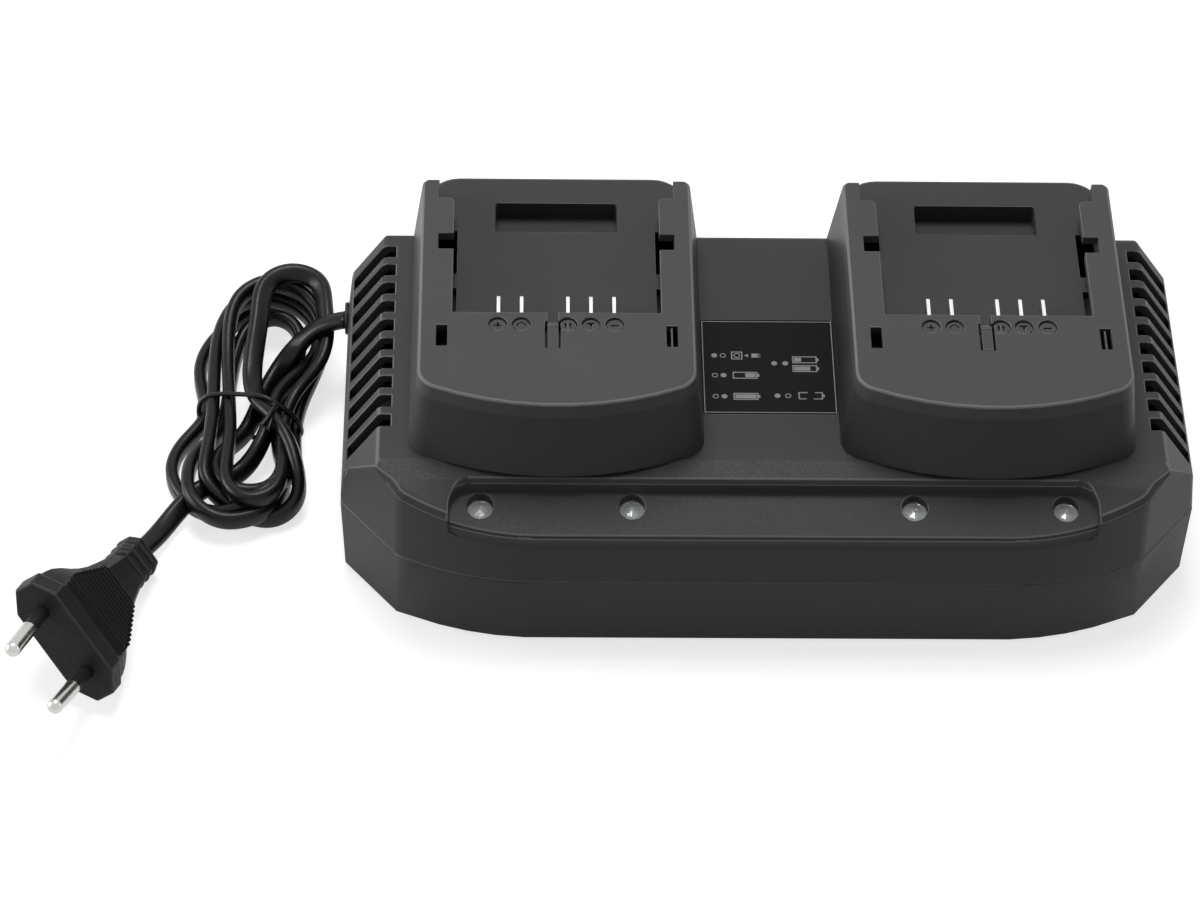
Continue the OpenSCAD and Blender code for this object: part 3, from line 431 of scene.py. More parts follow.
def clear_moulding(name):
    """Clear polycarbonate or glass: lets what is behind it show, with a slight ripple in its gloss."""
    finish, put, shader, place = fresh(name, IOR=1.585, Transmission_Weight=0.55, Coat_Weight=0.4)
    ripple = put("TexNoise", {"Vector": place, "Scale": 700.0, "Detail": 1.0}).outputs["Fac"]
    tint = put("Mix", {
        "Factor": ripple, MIX_A: shade_of("d4d8da"), MIX_B: shade_of("f4f6f7")},
        data_type="RGBA").outputs[MIX_OUT]
    gloss = put("MapRange", {"Value": ripple, "To Min": 0.04, "To Max": 0.2})
    bump = put("Bump", {"Height": ripple, "Distance": 0.00004})
    return settle(finish, shader, tint, gloss, bump)


def glass_fibre_board(name):
    """Glass-fibre circuit board under green lacquer: its weave and copper tracks show through faintly."""
    finish, put, shader, place = fresh(name, IOR=1.5, Roughness=0.35, Coat_Weight=0.5, Coat_Roughness=0.12)
    # A fibre bundle is about 0.5 mm wide.
    weft, warp = (put("TexWave", {"Vector": place, "Scale": 318.0, "Distortion": 0.4}, bands_direction=way)
                  for way in "XY")
    weave = put("Math", {0: weft.outputs["Fac"], 1: warp.outputs["Fac"]}, operation="MULTIPLY")
    tracks = put("TexBrick", {
        "Vector": place, "Scale": 90.0, "Mortar Size": 0.03, "Color1": shade_of("1f5a3a"),
        "Color2": shade_of("23643f"), "Mortar": shade_of("3c8a58")})
    tint = put("Mix", {
        "Factor": weave.outputs[0], MIX_A: tracks.outputs["Color"], MIX_B: shade_of("2c7048")},
        data_type="RGBA").outputs[MIX_OUT]
    bump = put("Bump", {"Height": weave.outputs[0], "Distance": 0.00002})
    return settle(finish, shader, tint, None, bump)


def wound(name, code, dark, pitch, rough, metallic=0.0):
    """Wound or wrapped: turns of wire or tape side by side, a pitch apart in metres, with dark joints."""
    finish, put, shader, place = fresh(name, Metallic=metallic)
    # A wave texture's bands lie 0.159 apart at scale 1.
    turns = put("TexWave", {"Vector": place, "Scale": 0.159 / pitch, "Distortion": 0.6, "Detail": 1.0},
                bands_direction="Z").outputs["Fac"]
    tint = put("Mix", {
        "Factor": turns, MIX_A: shade_of(dark), MIX_B: shade_of(code)}, data_type="RGBA").outputs[MIX_OUT]
    gloss = put("MapRange", {"Value": turns, "To Min": rough + 0.15, "To Max": rough})
    bump = put("Bump", {"Height": turns, "Distance": pitch * 0.3})
    return settle(finish, shader, tint, gloss, bump)


def make_finishes(colours):
    """Every finish of the charger, by the slot or part that it is for."""
    f = FINISHES
    # A spark-eroded skin of about 0.25 mm grain, drawn at 0.5 mm to show: satin, with a soft sparkle.
    # Its fillets get a painted highlight.
    f["shell"] = plastic("Spark-eroded ABS housing", colours.shell, 0.48, 0.08, 0.0005, 0.00002, shine=0.12,
                         highlight_gain=1.8)
    # The docks' mould is finer, so their tops carry a longer, softer sheen.
    # Below the pocket's lip its colour is painted darker as shade, and its fillets get a painted highlight.
    f["dock"] = plastic("Fine-grained ABS dock", colours.dock, 0.42, 0.07, 0.0004, 0.000014, shine=0.08,
                        shaded_below=0.0655, highlight_gain=1.2)
    # Extruded PVC: smooth and close to glossy, so long highlights run along its edges.
    f["lead"] = plastic("Extruded PVC lead", colours.lead, 0.32, 0.05, 0.0012, 0.00001, cloud=0.03,
                        drift=0.2, shine=0.19)
    # Overmoulded soft PVC: matt, with a fine speckle, and a painted highlight along its edges.
    f["plug"] = plastic("Overmoulded matt PVC plug", colours.plug, 0.55, 0.12, 0.0007, 0.00003, drift=0.2,
                        shine=0.2, highlight_gain=4.0)
    # Soft black mouldings beside the lead: an even, low sheen.
    f["relief"] = plastic("Moulded rubbery bush", "171717", 0.5, 0.08, 0.0006, 0.00001)
    f["sleeve"] = plastic("Moulded black nylon sleeve", "19191a", 0.42, 0.06, 0.0006, 0.00001)
    f["tie"] = plastic("PVC-coated tie wire", "101010", 0.34, 0.06, 0.0008, 0.00001)
    # Tin-plated brass, rolled along its length: white and bright, with fine drawn streaks.
    f["blade"] = plated("Tin-plated brass blade", "e9e8e4", 0.26, (1, 0.06, 1), 0.0004)
    # Turned pins, plated screws and drawn fins: duller than the blades, streaked the way they were made.
    f["pin"] = plated("Nickel-plated brass pin", "c9c8c4", 0.22, (1, 1, 0.2), 0.0005)
    f["steel"] = plated("Zinc-plated steel screw", "a9abad", 0.36, (1, 1, 1), 0.0008)
    f["sink"] = plated("Extruded aluminium heat sink", "b7babd", 0.38, (1, 0.05, 1), 0.0006)
    # A thin matt film that darkens the label, and raised ink on it, slightly uneven and a little rougher.
    f["film"] = plastic("Printed polyester label film", colours.film, 0.42, 0.05, 0.0006, 0.000006,
                        shine=0.06)
    f["print"] = plastic("Screen-printed ink", colours.print, 0.5, 0.1, 0.0002, 0.000002, cloud=0.003,
                         drift=0.1)
    # Clear lenses over white diodes: a pale glint in each lamp.
    f["lens"] = clear_moulding("Clear moulded polycarbonate")
    f["glass"] = clear_moulding("Fuse glass")
    f["diode"] = plastic("White diode body", "d8dadb", 0.3, 0.05, 0.0008, 0.000004, drift=0.04)
    # Dull black that grips: the coarsest and roughest of the plastics.
    f["foot"] = plastic("Moulded rubber foot", "1b1b1b", 0.75, 0.1, 0.0006, 0.00003)
    # Inside parts, each told from the next by its own colour and gloss.
    f["board"] = glass_fibre_board("Lacquered glass-fibre board")
    f["black"] = plastic("Moulded black nylon", "202021", 0.5, 0.08, 0.0006, 0.00001)
    f["ferrite"] = plastic("Sintered ferrite core", "3a3b3d", 0.6, 0.12, 0.0004, 0.00001)
    f["tape"] = wound("Polyester winding tape", "c9a53c", "9a7a26", 0.0021, 0.32)
    f["copper"] = wound("Enamelled copper wire", "b5622f", "5e2c12", 0.0008, 0.3, 1.0)
    f["can"] = plastic("Shrunk PVC capacitor sleeve", "24262c", 0.28, 0.04, 0.0015, 0.000006)
    f["wire"] = plastic("Red PVC wire insulation", "8d2320", 0.42, 0.05, 0.0008, 0.000006)
    f["ribbon"] = plastic("Grey PVC ribbon cable", "8e8f91", 0.5, 0.06, 0.0008, 0.000008)
    f["nylon"] = plastic("Natural nylon connector", "cfcabb", 0.45, 0.06, 0.0008, 0.000006, drift=0.05)


CARRIED_OVER = {
    "board": ("left_contact_board", "right_contact_board", "lamp_board", "main_board"),
    "black": ("left_terminal_block", "right_terminal_block", "power_transistors", "bridge_rectifier",
              "control_chips", "lead_clamp"),
    "wire": ("left_output_wires", "right_output_wires"),
    "diode": ("lamp_diodes",),
    "ribbon": ("lamp_ribbon",),
    "ferrite": ("transformer_cores",),
    "tape": ("transformer_windings",),
    "can": ("bulk_capacitors", "output_capacitors"),
    "sink": ("heat_sinks",),
    "copper": ("mains_choke",),
    "glass": ("fuse",),
    "nylon": ("mains_connector", "output_connectors"),
    "foot": ("rubber_feet",),
    "steel": ("housing_screws", "dock_screws", "contact_board_screws", "main_board_screws",
              "lamp_board_screws", "lead_clamp_screws"),
    "lead": ("inner_lead",),
    "pin": ("plug_pins",),
    "sleeve": ("plug_sleeves",),
}


def finish_carried_over():
    """Gives each CAD node that stays its own finish."""
    for finish, names in CARRIED_OVER.items():
        for name in names:
            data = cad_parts[name].data
            data.materials.clear()
            data.materials.append(FINISHES[finish])
            data.polygons.foreach_set("material_index", [0] * len(data.polygons))


# ---- camera, floor and light

CAMERA_SPOT, CAMERA_LENS = Vector((-64.65, -724.44, 793.22)) * MM, 122.818
# How far the camera looks down, turns right and leans over.
CAMERA_DIP, CAMERA_TURN, CAMERA_LEAN = (math.radians(a) for a in (47.0, 1.7764, 1.622))
# Each soft box's place and size in metres, and its watts.
SOFT_BOXES = (
    ("Overhead soft box", (-0.1, 0.38, 1.48), 0.6, 14.5), ("Left soft box", (-1.3, 0.12, 0.28), 0.7, 11.5),
    ("Right soft box", (1.3, 0.12, 0.28), 0.7, 2.0))


def aim_camera():
    """A long lens that looks down at the charger from in front."""
    level = math.cos(CAMERA_DIP)
    ahead = Vector((math.sin(CAMERA_TURN) * level, math.cos(CAMERA_TURN) * level, -math.sin(CAMERA_DIP)))
    right = Vector((math.cos(CAMERA_TURN), -math.sin(CAMERA_TURN), 0))
    down = ahead.cross(right)
    across = math.cos(CAMERA_LEAN) * right - math.sin(CAMERA_LEAN) * down
    up = -(math.sin(CAMERA_LEAN) * right + math.cos(CAMERA_LEAN) * down)
    data = bpy.data.cameras.new("Camera")
    data.lens, data.sensor_width, data.clip_start, data.clip_end = CAMERA_LENS, 36.0, 0.05, 10.0
    camera = bpy.data.objects.new("Camera", data)
    bpy.context.scene.collection.objects.link(camera)
    rows = [(across[i], up[i], -ahead[i], CAMERA_SPOT[i]) for i in range(3)]
    camera.matrix_world = Matrix((*rows, (0, 0, 0, 1)))
    bpy.context.scene.camera = camera


def soft_light(name, spot, size, watts):
    """A square soft box that faces the charger."""
    data = bpy.data.lights.new(name, "AREA")
    data.shape, data.size, data.energy = "SQUARE", size, watts
    lamp = bpy.data.objects.new(name, data)
    bpy.context.scene.collection.objects.link(lamp)
    turn = (-Vector(spot)).to_track_quat("-Z", "Y").to_matrix().to_4x4()
    lamp.matrix_world = Matrix.Translation(spot) @ turn


def background_ray(put):
    """1 for rays that should see the white ground: the camera's, and those that metal and glass pass on."""
    path = put("LightPath")
    seen = path.outputs["Is Camera Ray"]
    for kind in ("Is Glossy Ray", "Is Transmission Ray"):
        seen = put("Math", {0: seen, 1: path.outputs[kind]}, operation="MAXIMUM").outputs[0]
    return seen


def lay_floor():
    """A wide pale floor that keeps the charger's shadow and reads as white where nothing shades it."""
    deselect()
    bpy.ops.mesh.primitive_plane_add(size=6.0)
    floor = bpy.context.object
    floor.name = "Studio_floor"
    finish = bpy.data.materials.new("Pale studio paper")
    put = blank(finish)
    place = put("TexCoord").outputs["Object"]
    pulp = put("TexNoise", {"Vector": place, "Scale": 400.0, "Detail": 2.0})
    tint = put("Mix", {
        "Factor": pulp.outputs["Fac"], MIX_A: shade_of("bababa"), MIX_B: shade_of("bebebe")},
        data_type="RGBA")
    matt = put("BsdfDiffuse", {"Color": tint.outputs[MIX_OUT]})
    lift = put("Math", {0: background_ray(put), 1: 0.72}, operation="MULTIPLY")
    glow = put("Emission", {"Strength": lift.outputs[0]})
    both = put("AddShader", {0: matt.outputs[0], 1: glow.outputs[0]})
    put("OutputMaterial", {"Surface": both.outputs[0]})
    floor.data.materials.append(finish)


def light_studio():
    """A white surround that lights the charger only faintly, and three soft boxes."""
    world = bpy.data.worlds.new("Studio")
    bpy.context.scene.world = world
    put = blank(world)
    strength = put("MapRange", {"Value": background_ray(put), "To Min": 0.16, "To Max": 1.0})
    ground = put("Background", {"Color": (1, 1, 1, 1), "Strength": strength.outputs[0]})
    put("OutputWorld", {"Surface": ground.outputs[0]})
    for soft_box in SOFT_BOXES:
        soft_light(*soft_box)
    bpy.context.scene.view_settings.view_transform = "Standard"


# ---- lead

# The lead's route: the run from the housing, five turns of the hank, and the tail to the plug. The places
# were traced turn by turn, and then settled by another program, so that the turns lie on each other.
LEAD_ROUTE = (
    (-108.7, 39.8, 23.4), (-116.8, 41.4, 19.8), (-122.7, 40.1, 12.5), (-128.3, 34.4, 7.6),
    (-131.7, 25.2, 7.1), (-135.2, 14.7, 4.2), (-141.2, 7.7, 6.2), (-143.4, -0.3, 7.2),
    (-137.4, -8.1, 7.0), (-127.1, -6.2, 5.6), (-124.3, 3.3, 5.9), (-126.5, 7.2, 5.5),
    (-127.3, 18.8, 5.6), (-129.1, 23.6, 4.5), (-126.1, 34.1, 3.4), (-121.8, 42.2, 5.9),
    (-121.8, 51.1, 8.2), (-129.1, 56.4, 9.1), (-136.8, 52.1, 7.6), (-139.4, 43.2, 5.6),
    (-140.4, 33.8, 4.0), (-140.8, 24.4, 3.1), (-142.3, 15.0, 3.3), (-148.0, 7.9, 5.6),
    (-149.7, -1.2, 7.5), (-148.8, -10.6, 7.9), (-142.3, -16.8, 6.7), (-135.2, -16.8, 5.9),
    (-126.1, -11.9, 5.8), (-123.9, -1.7, 3.0), (-125.1, 5.5, 2.8), (-126.2, 15.0, 3.0),
    (-125.4, 24.4, 3.2), (-122.2, 33.4, 2.8), (-118.7, 42.3, 2.8), (-116.9, 51.6, 2.8),
    (-119.2, 60.7, 3.1), (-126.6, 65.9, 4.2), (-135.3, 62.6, 4.1), (-142.2, 56.0, 3.3),
    (-147.6, 48.3, 2.8), (-149.3, 39.0, 2.8), (-146.9, 29.8, 3.0), (-145.5, 20.6, 3.8),
    (-151.6, 13.7, 3.0), (-155.0, 5.1, 2.8), (-152.5, -4.0, 2.8), (-146.2, -11.1, 2.9),
    (-137.3, -14.2, 5.1), (-130.8, -10.0, 8.4), (-120.9, -1.3, 8.0), (-121.7, 7.1, 4.3),
    (-122.6, 16.5, 3.6), (-121.5, 25.7, 5.3), (-117.5, 33.3, 9.4), (-114.8, 42.0, 11.9),
    (-116.0, 51.2, 13.3), (-121.8, 59.6, 14.9), (-130.4, 62.5, 16.1), (-139.2, 57.5, 14.6),
    (-141.0, 48.5, 12.8), (-140.9, 39.2, 10.7), (-140.3, 29.7, 9.7), (-139.4, 20.2, 9.4),
    (-138.8, 10.7, 9.2), (-139.3, 1.3, 10.1), (-139.5, -8.2, 9.6), (-133.1, -14.3, 10.0),
    (-125.1, -10.6, 10.4), (-124.4, -1.5, 10.9), (-125.3, 7.7, 8.9), (-125.1, 17.2, 9.3),
    (-122.3, 26.0, 10.7), (-115.7, 31.4, 14.5), (-114.2, 40.3, 17.0), (-115.4, 49.5, 19.1),
    (-116.1, 58.1, 19.8), (-124.7, 61.9, 20.2), (-132.2, 56.9, 19.9), (-132.3, 47.3, 18.0),
    (-133.4, 38.3, 14.9), (-134.3, 29.3, 12.0), (-132.4, 20.2, 12.0), (-127.1, 12.9, 14.3),
    (-122.4, 4.7, 13.0), (-120.1, -4.0, 10.0), (-120.0, -9.5, 5.4), (-127.0, -14.2, 2.2),
    (-136.8, -10.6, 3.0), (-146.0, -5.2, 8.1), (-144.6, 4.6, 8.8), (-143.9, 14.1, 9.3),
    (-144.0, 23.6, 8.7), (-144.3, 33.1, 8.9), (-144.3, 42.6, 9.0), (-143.1, 52.1, 9.3),
    (-138.9, 60.4, 9.9), (-129.9, 62.3, 9.5), (-121.5, 58.1, 8.7), (-116.6, 50.1, 8.1),
    (-117.3, 40.7, 7.5), (-122.6, 33.0, 8.3), (-127.8, 25.3, 9.3), (-128.7, 15.9, 9.3),
    (-131.1, 7.3, 7.4), (-136.5, 1.0, 3.1), (-145.7, -4.0, 5.8), (-151.7, -10.1, 3.1),
    (-156.0, -18.5, 2.8), (-160.5, -26.5, 4.8),
)
# In metres.
# Where the lead turns its wide side up: distance along it, and degrees from standing on edge.
LEAD_TWIST = (
    (0, 90), (12, 90), (30, 30), (60, 0), (582, 0), (622, 0), (662, 35), (712, 60), (727, 70), (752, 20),
    (782, 0), (922, 0), (952, 30), (982, 80), (1032, 90))
TIE_LOOP = (
    (-129.5, 18.5, 16.2), (-134.5, 20.5, 14.6), (-140.0, 22.4, 12.9), (-145.5, 23.4, 11.6),
    (-147.9, 23.0, 8.6), (-148.0, 21.5, 5.0), (-146.6, 19.8, 1.4), (-141.0, 19.0, 0.75),
    (-133.0, 18.0, 0.75), (-125.0, 17.2, 0.75), (-120.9, 16.6, 2.4), (-120.3, 16.0, 6.0),
    (-121.6, 15.8, 10.4), (-124.8, 16.6, 13.4), (-129.5, 18.5, 16.2))
TIE_TAILS = (
    ((-126.6, 16.6, 14.6), (-126.9, 14.6, 16.4), (-127.8, 12.2, 17.2), (-128.6, 9.8, 17.0),
     (-130.2, 7.6, 16.4)),
    ((-127.6, 16.9, 14.9), (-126.6, 14.8, 15.2), (-128.4, 12.4, 15.9), (-127.6, 10.2, 16.2),
     (-128.6, 7.2, 15.2)))
TIE_THICK = 1.3


def smooth_route(points, steps, ring=False):
    """A smooth curve near the points, as a list of places, with this many steps for each point."""
    spots = [Vector(p) for p in points]
    if ring:
        spots = spots[:-1]
        spots = [spots[-1]] + spots + spots[:2]
    else:
        spots = [2 * spots[0] - spots[1]] + spots + [2 * spots[-1] - spots[-2]]
    line = []
    for a, b, c, d in zip(spots, spots[1:], spots[2:], spots[3:]):
        for k in range(steps):
            t = k / steps
            line.append(((1 - t) ** 3 * a + (3 * t ** 3 - 6 * t * t + 4) * b
                         + (-3 * t ** 3 + 3 * t * t + 3 * t + 1) * c + t ** 3 * d) / 6)
    if not ring:
        line.append(spots[-2].copy())
    return line


def between(table, value):
    """A number read off a table of places and numbers."""
    for (x0, y0), (x1, y1) in zip(table, table[1:]):
        if value <= x1:
            s = max(0.0, (value - x0) / (x1 - x0))
            return y0 + (y1 - y0) * s * s * (3 - 2 * s)
    return table[-1][1]


def sheathed(name, line, width, thick, twist=None, sides=16, ring=False):
    """A sheath along a line, wide side upright but for the twist table; a round one needs no table."""
    mesh = bmesh.new()
    rings, gone, up = [], 0.0, None
    flat, last = (width - thick) / 2, len(line) - 1
    for i, spot in enumerate(line):
        before = line[i - 1] if i or ring else spot
        after = line[(i + 1) % len(line)] if i < last or ring else spot
        ahead = (after - before).normalized()
        if i:
            gone += (spot - before).length
        if twist or up is None:
            up = Vector((0, 0, 1)) - ahead * ahead.z
        else:
            up = up - ahead * up.dot(ahead)
        up.normalize()
        side = ahead.cross(up)
        angle = math.radians(between(twist, gone)) if twist else 0.0
        wide = math.cos(angle) * up + math.sin(angle) * side
        thin = ahead.cross(wide)
        rings.append([])
        for k in range(sides):
            a = 2 * math.pi * (k + 0.5) / sides
            x = math.cos(a) * thick / 2 + (flat if math.cos(a) > 0 else -flat)
            rings[-1].append(mesh.verts.new((spot + wide * x + thin * math.sin(a) * thick / 2) * MM))
    for one, two in list(zip(rings, rings[1:])) + ([(rings[-1], rings[0])] if ring else []):
        for k in range(sides):
            mesh.faces.new((one[k], two[k], two[(k + 1) % sides], one[(k + 1) % sides]))
    if not ring:
        mesh.faces.new(rings[0])
        mesh.faces.new(rings[-1][::-1])
    bmesh.ops.recalc_face_normals(mesh, faces=mesh.faces)
    data = bpy.data.meshes.new(name)
    mesh.to_mesh(data)
    mesh.free()
    data.shade_smooth()
    piece = bpy.data.objects.new(name, data)
    bpy.context.scene.collection.objects.link(piece)
    return piece


# ---- housings

HALF_W, FRONT, BACK, TOP, PARTING = 108.5, -52.0, 48.0, 48.0, 23.5
# The front wall is straight as far as this to each side, then an arc of this radius.
FRONT_FLAT, FRONT_ARC, ARC_STEP, ARC_STEPS = 58.0, 78.0, 2.732, 9
# How far the front wall leans back above the parting line, and how far it draws in below.
TILT, LOWER_LEAN = math.atan2(1.2, 24.5), -0.72 / 22.5
SLOPE_SPOT, SLOPE_AWAY = Vector((107.3, 0, 34.5)), Vector((13.5, 0, 8.8)).normalized()
FACET_SPOT = Vector((HALF_W, -25.3, PARTING))
FACET_AWAY = Vector((18 * math.cos(TILT), -14.7 * math.cos(TILT), 23.24 * math.sin(TILT)))
APRON = ((Vector((0, -36, TOP)), Vector((0, -8, 16))), (Vector((0, -33, TOP)), Vector((0, -3.8, 16))))
# The lamp recess under its flared rim, the rim's back edge, and the slope of the recess floor.
RECESS_X, RECESS_BACK, RIM_BACK, RECESS_ROUND, RECESS_FLARE = 80.7, -38.95, -37.5, 5.5, 2.77
RECESS_FRONT, RECESS_HEIGHTS = -60, (30, 45.2, 51)
FLOOR_Y, FLOOR_Z, FLOOR_AWAY = -38.9, 42.1, Vector((0, -4.0, 11.6))
LAMPS, LAMP_Y = (-72.85, -35.15, 35.15, 72.85), -42.3
HOUSING_BOSSES = ((-80, 40.0), (0, 40.0), (80, 40.0), (0, -30), (-86, -34), (86, -34))
FEET = ((78.5, -35), (-78.5, -35), (92.5, 36), (-92.5, 36))
VENT_X, VENT_BACK, VENT_WIDE, VENT_DEEP = (95.4, 106.6), BACK - 5.6, 4.0, 4.6
# The hole for the lead's bush, in the left side.
LEAD_Y, BUSH_BORE, BUSH_GROOVE = 40.1, 4.15, 5.1
# Each dock's screws, which lie to both sides of its middle.
DOCK_SCREWS = ((26, -24), (20, 24))


def mirrored(v):
    """The same vector on the other side of the middle plane."""
    return Vector((-v.x, v.y, v.z))


def upright(a, b):
    """Whether an edge stands nearly straight up."""
    return abs(a.z - b.z) > 0.9 * (a - b).length


def arc_spot(turn, z):
    """A place on the curved front wall, by its turn in degrees from straight ahead."""
    r = FRONT_ARC - (z - PARTING) * math.tan(TILT)
    a = math.radians(turn)
    return Vector((FRONT_FLAT + r * math.sin(a), FRONT + FRONT_ARC - r * math.cos(a), z))


def housing_form(inset, low, high, apron=True):
    """The housing's outer form between two heights, every wall moved inwards by inset."""
    piece = block((-HALF_W, FRONT, low), (HALF_W, BACK - inset, high))
    cuts = [(Vector((0, FRONT, PARTING)), Vector((0, -math.cos(TILT), math.sin(TILT))))]
    if apron:
        cuts += APRON
    sides = [(Vector((HALF_W, 0, PARTING)), Vector((11, 0, 1.2))), (SLOPE_SPOT, SLOPE_AWAY),
             (FACET_SPOT, FACET_AWAY)]
    for i in range(1, ARC_STEPS + 1):
        a = math.radians(ARC_STEP * i)
        away = Vector((math.sin(a) * math.cos(TILT), -math.cos(a) * math.cos(TILT), math.sin(TILT)))
        sides.append((arc_spot(ARC_STEP * i, PARTING), away))
    cuts += sides + [(mirrored(spot), mirrored(away)) for spot, away in sides]
    for spot, away in cuts:
        away = away.normalized()
        slice_off(piece, spot - away * inset, away)
    return piece


def on_facet(point, slack=0.12):
    """Whether a point lies on the slanting corner facet, on either side."""
    spot = Vector((abs(point.x), point.y, point.z))
    return abs((spot - FACET_SPOT).dot(FACET_AWAY.normalized())) < slack


def below_recess_floor(piece, drop=0.0, keep_above=False):
    """Trims a piece to the recess floor, which falls towards the front, or to the part above it."""
    return slice_off(piece, (0, FLOOR_Y, FLOOR_Z - drop), -FLOOR_AWAY if keep_above else FLOOR_AWAY)


def recess_cutter(lip):
    """The long lamp recess: flared rim, rounded rear corners, and a stepped roll over the front lip."""
    low, rim, high = RECESS_HEIGHTS
    well = block((-RECESS_X, RECESS_FRONT, low), (RECESS_X, RECESS_BACK, rim))
    round_edges(well, RECESS_ROUND, lambda a, b, n: (
        abs(a.y - b.y) < 0.1 and a.y > -40 and abs(a.z - b.z) > 5), 6)
    pick_faces(well, lambda c, n: n.z > 0.9)
    bpy.ops.mesh.extrude_region_move(TRANSFORM_OT_translate={"value": (0, 0, (high - rim) * MM)})
    bpy.ops.transform.resize(
        value=(1 + RECESS_FLARE / RECESS_X, 1 + RECESS_FLARE / (RECESS_BACK - RECESS_FRONT), 1),
        center_override=(0, RECESS_FRONT * MM, 0))
    closed(well)
    sill = below_recess_floor(housing_form(-0.02, 20, 46, apron=False), drop=0.65)
    round_edges(sill, lip, lambda a, b, n: (
        (a - b).length > 1 and max(a.y, b.y) < -30
        and any(m.z > 0.9 for m in n) and any(m.z < 0.5 for m in n)), 6)
    weld(sill, below_recess_floor(housing_form(1.4, 24, 46, apron=False)))
    return carve(well, sill)


def vent_cutter(count, pitch):
    """One slot down the sloping side, copied along both sides."""
    slot = block((VENT_X[0], VENT_BACK - VENT_WIDE, 33), (VENT_X[1], VENT_BACK, 50))
    slice_off(slot, SLOPE_SPOT - SLOPE_AWAY * VENT_DEEP, -SLOPE_AWAY)
    right = joined([slot] + [copied(slot, (0, -pitch * i, 0)) for i in range(1, count)])
    return joined([right, copied(right, across=True)])


def lead_hole(radius, low, high):
    """A round way along the lead's line through the side, between two places across the housing."""
    return rod((low, LEAD_Y, PARTING), (high, LEAD_Y, PARTING), radius, sides=40)


def label_box():
    """The label panel's lowest and highest corner, from its packed place and size."""
    low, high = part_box("label_panel")
    size = high - low
    return low / MM, (low + size) / MM


def build_upper_housing(sizes):
    """The upper shell: vented slopes, facets at its front corners, and the lamp recess behind its lip."""
    wall = sizes.wall / MM
    shell = housing_form(0, PARTING, TOP)
    round_edges(shell, sizes.corner / MM, lambda a, b, n: (
        upright(a, b) and a.y + b.y < -48 and (a - b).length > 8 and on_facet(a) and on_facet(b)), 3)
    round_edges(shell, 2.6, lambda a, b, n: (
        min(a.y, b.y) > BACK - 0.1 and (a - b).length > 3 and min(abs(a.x), abs(b.x)) > 98
        and max(a.z, b.z) > 30), 4)
    round_edges(shell, 1.1, lambda a, b, n: (
        abs(a.y - b.y) > 30 and abs(a.x - b.x) < 2 and min(a.z, b.z) > 30), 3)
    # The bead round the facets' tops and along the apron's front edge is a narrow flat between two lines.
    round_edges(shell, sizes.bead / MM, lambda a, b, n: (
        max(a.y, b.y) < -24.5 and min(a.z, b.z) > 31
        and any(m.z < 0.25 for m in n) and any(m.z > 0.5 for m in n)), 1)
    carve(shell, recess_cutter(sizes.lip / MM))
    face_out(shell, 2e-5)
    hollow = housing_form(wall, 20, TOP - wall)
    ceiling = block((-RECESS_X - wall, -70, 30), (RECESS_X + wall, RIM_BACK + wall, 60))
    carve(hollow, below_recess_floor(ceiling, drop=wall, keep_above=True))
    bosses = [post(x, y, PARTING - 1, 52, 3.8) for x, y in HOUSING_BOSSES]
    bosses += [post(x, LAMP_Y, 32.8, 52, 2.5) for x in (-DOCK_X, DOCK_X)]
    carve(hollow, joined(bosses))
    carve(shell, hollow)
    carve(shell, housing_form(1.2, 22, PARTING + 2.2, apron=False))
    cutters = [post(x, y, 20, 31, 1.55, sides=24) for x, y in HOUSING_BOSSES]
    for x in LAMPS:
        cutters.append(weld(
            post(x, LAMP_Y, 37, 42.5, 3.25, sides=48), post(x, LAMP_Y, 33, 38.85, 4.3, sides=48)))
    for x in (-DOCK_X, DOCK_X):
        cutters.append(block((x - 16, -19, 44), (x + 16, -2, 49)))
        screws = [(x + side * px, py) for side in (-1, 1) for px, py in DOCK_SCREWS]
        cutters += [post(px, py, 44, 49, 1.8, sides=20) for px, py in screws]
    carve(shell, joined(cutters))
    low, high = label_box()
    seat = block((-17.1, low.y - 0.1, 47.6), (17.1, high.y + 0.1, 49))
    round_edges(seat, 1.2, lambda a, b, n: abs(a.z - b.z) > 1, 4)
    for cutter in (seat, lead_hole(BUSH_BORE, -112, -100), lead_hole(BUSH_GROOVE, -106.1, -100.9)):
        carve(shell, cutter)
    face_out(shell, 1e-5)
    carve(shell, vent_cutter(sizes.vents, sizes.vent_pitch / MM))
    soften(shell, sizes.edge / MM, angle=22, merge=8e-5)
    hand_over(shell, "housing_top", "shell", ("upper_housing",))


def build_lower_housing(sizes):
    """The lower shell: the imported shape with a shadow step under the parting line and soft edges."""
    shell = bpy.data.objects.new("lower shell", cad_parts["lower_housing"].data.copy())
    bpy.context.collection.objects.link(shell)
    face_out(shell, 2e-6)
    for side in (-1, 1):
        for i in range(2, ARC_STEPS, 2):
            a = math.radians(ARC_STEP * i)
            spot = arc_spot(ARC_STEP * i, PARTING)
            slice_off(shell, (side * spot.x, spot.y, spot.z), (side * math.sin(a), -math.cos(a), LOWER_LEAN))
    merge_flats(shell)

    def outside(p):
        return (abs(p.x) > HALF_W - 0.6 or p.y < FRONT + 0.4 or p.y > BACK - 0.4 or on_facet(p, 1.2)
                or (p.y < -40 and abs(p.x) > FRONT_FLAT - 1))

    round_edges(shell, 0.55, lambda a, b, n: (
        abs(a.z - PARTING) < 0.05 and abs(b.z - PARTING) < 0.05 and outside(a) and outside(b)
        and any(abs(m.z) < 0.2 for m in n)), 1)
    soften(shell, sizes.edge / MM, merge=5e-5)
    hand_over(shell, "housing_bottom", "shell", ("lower_housing",))


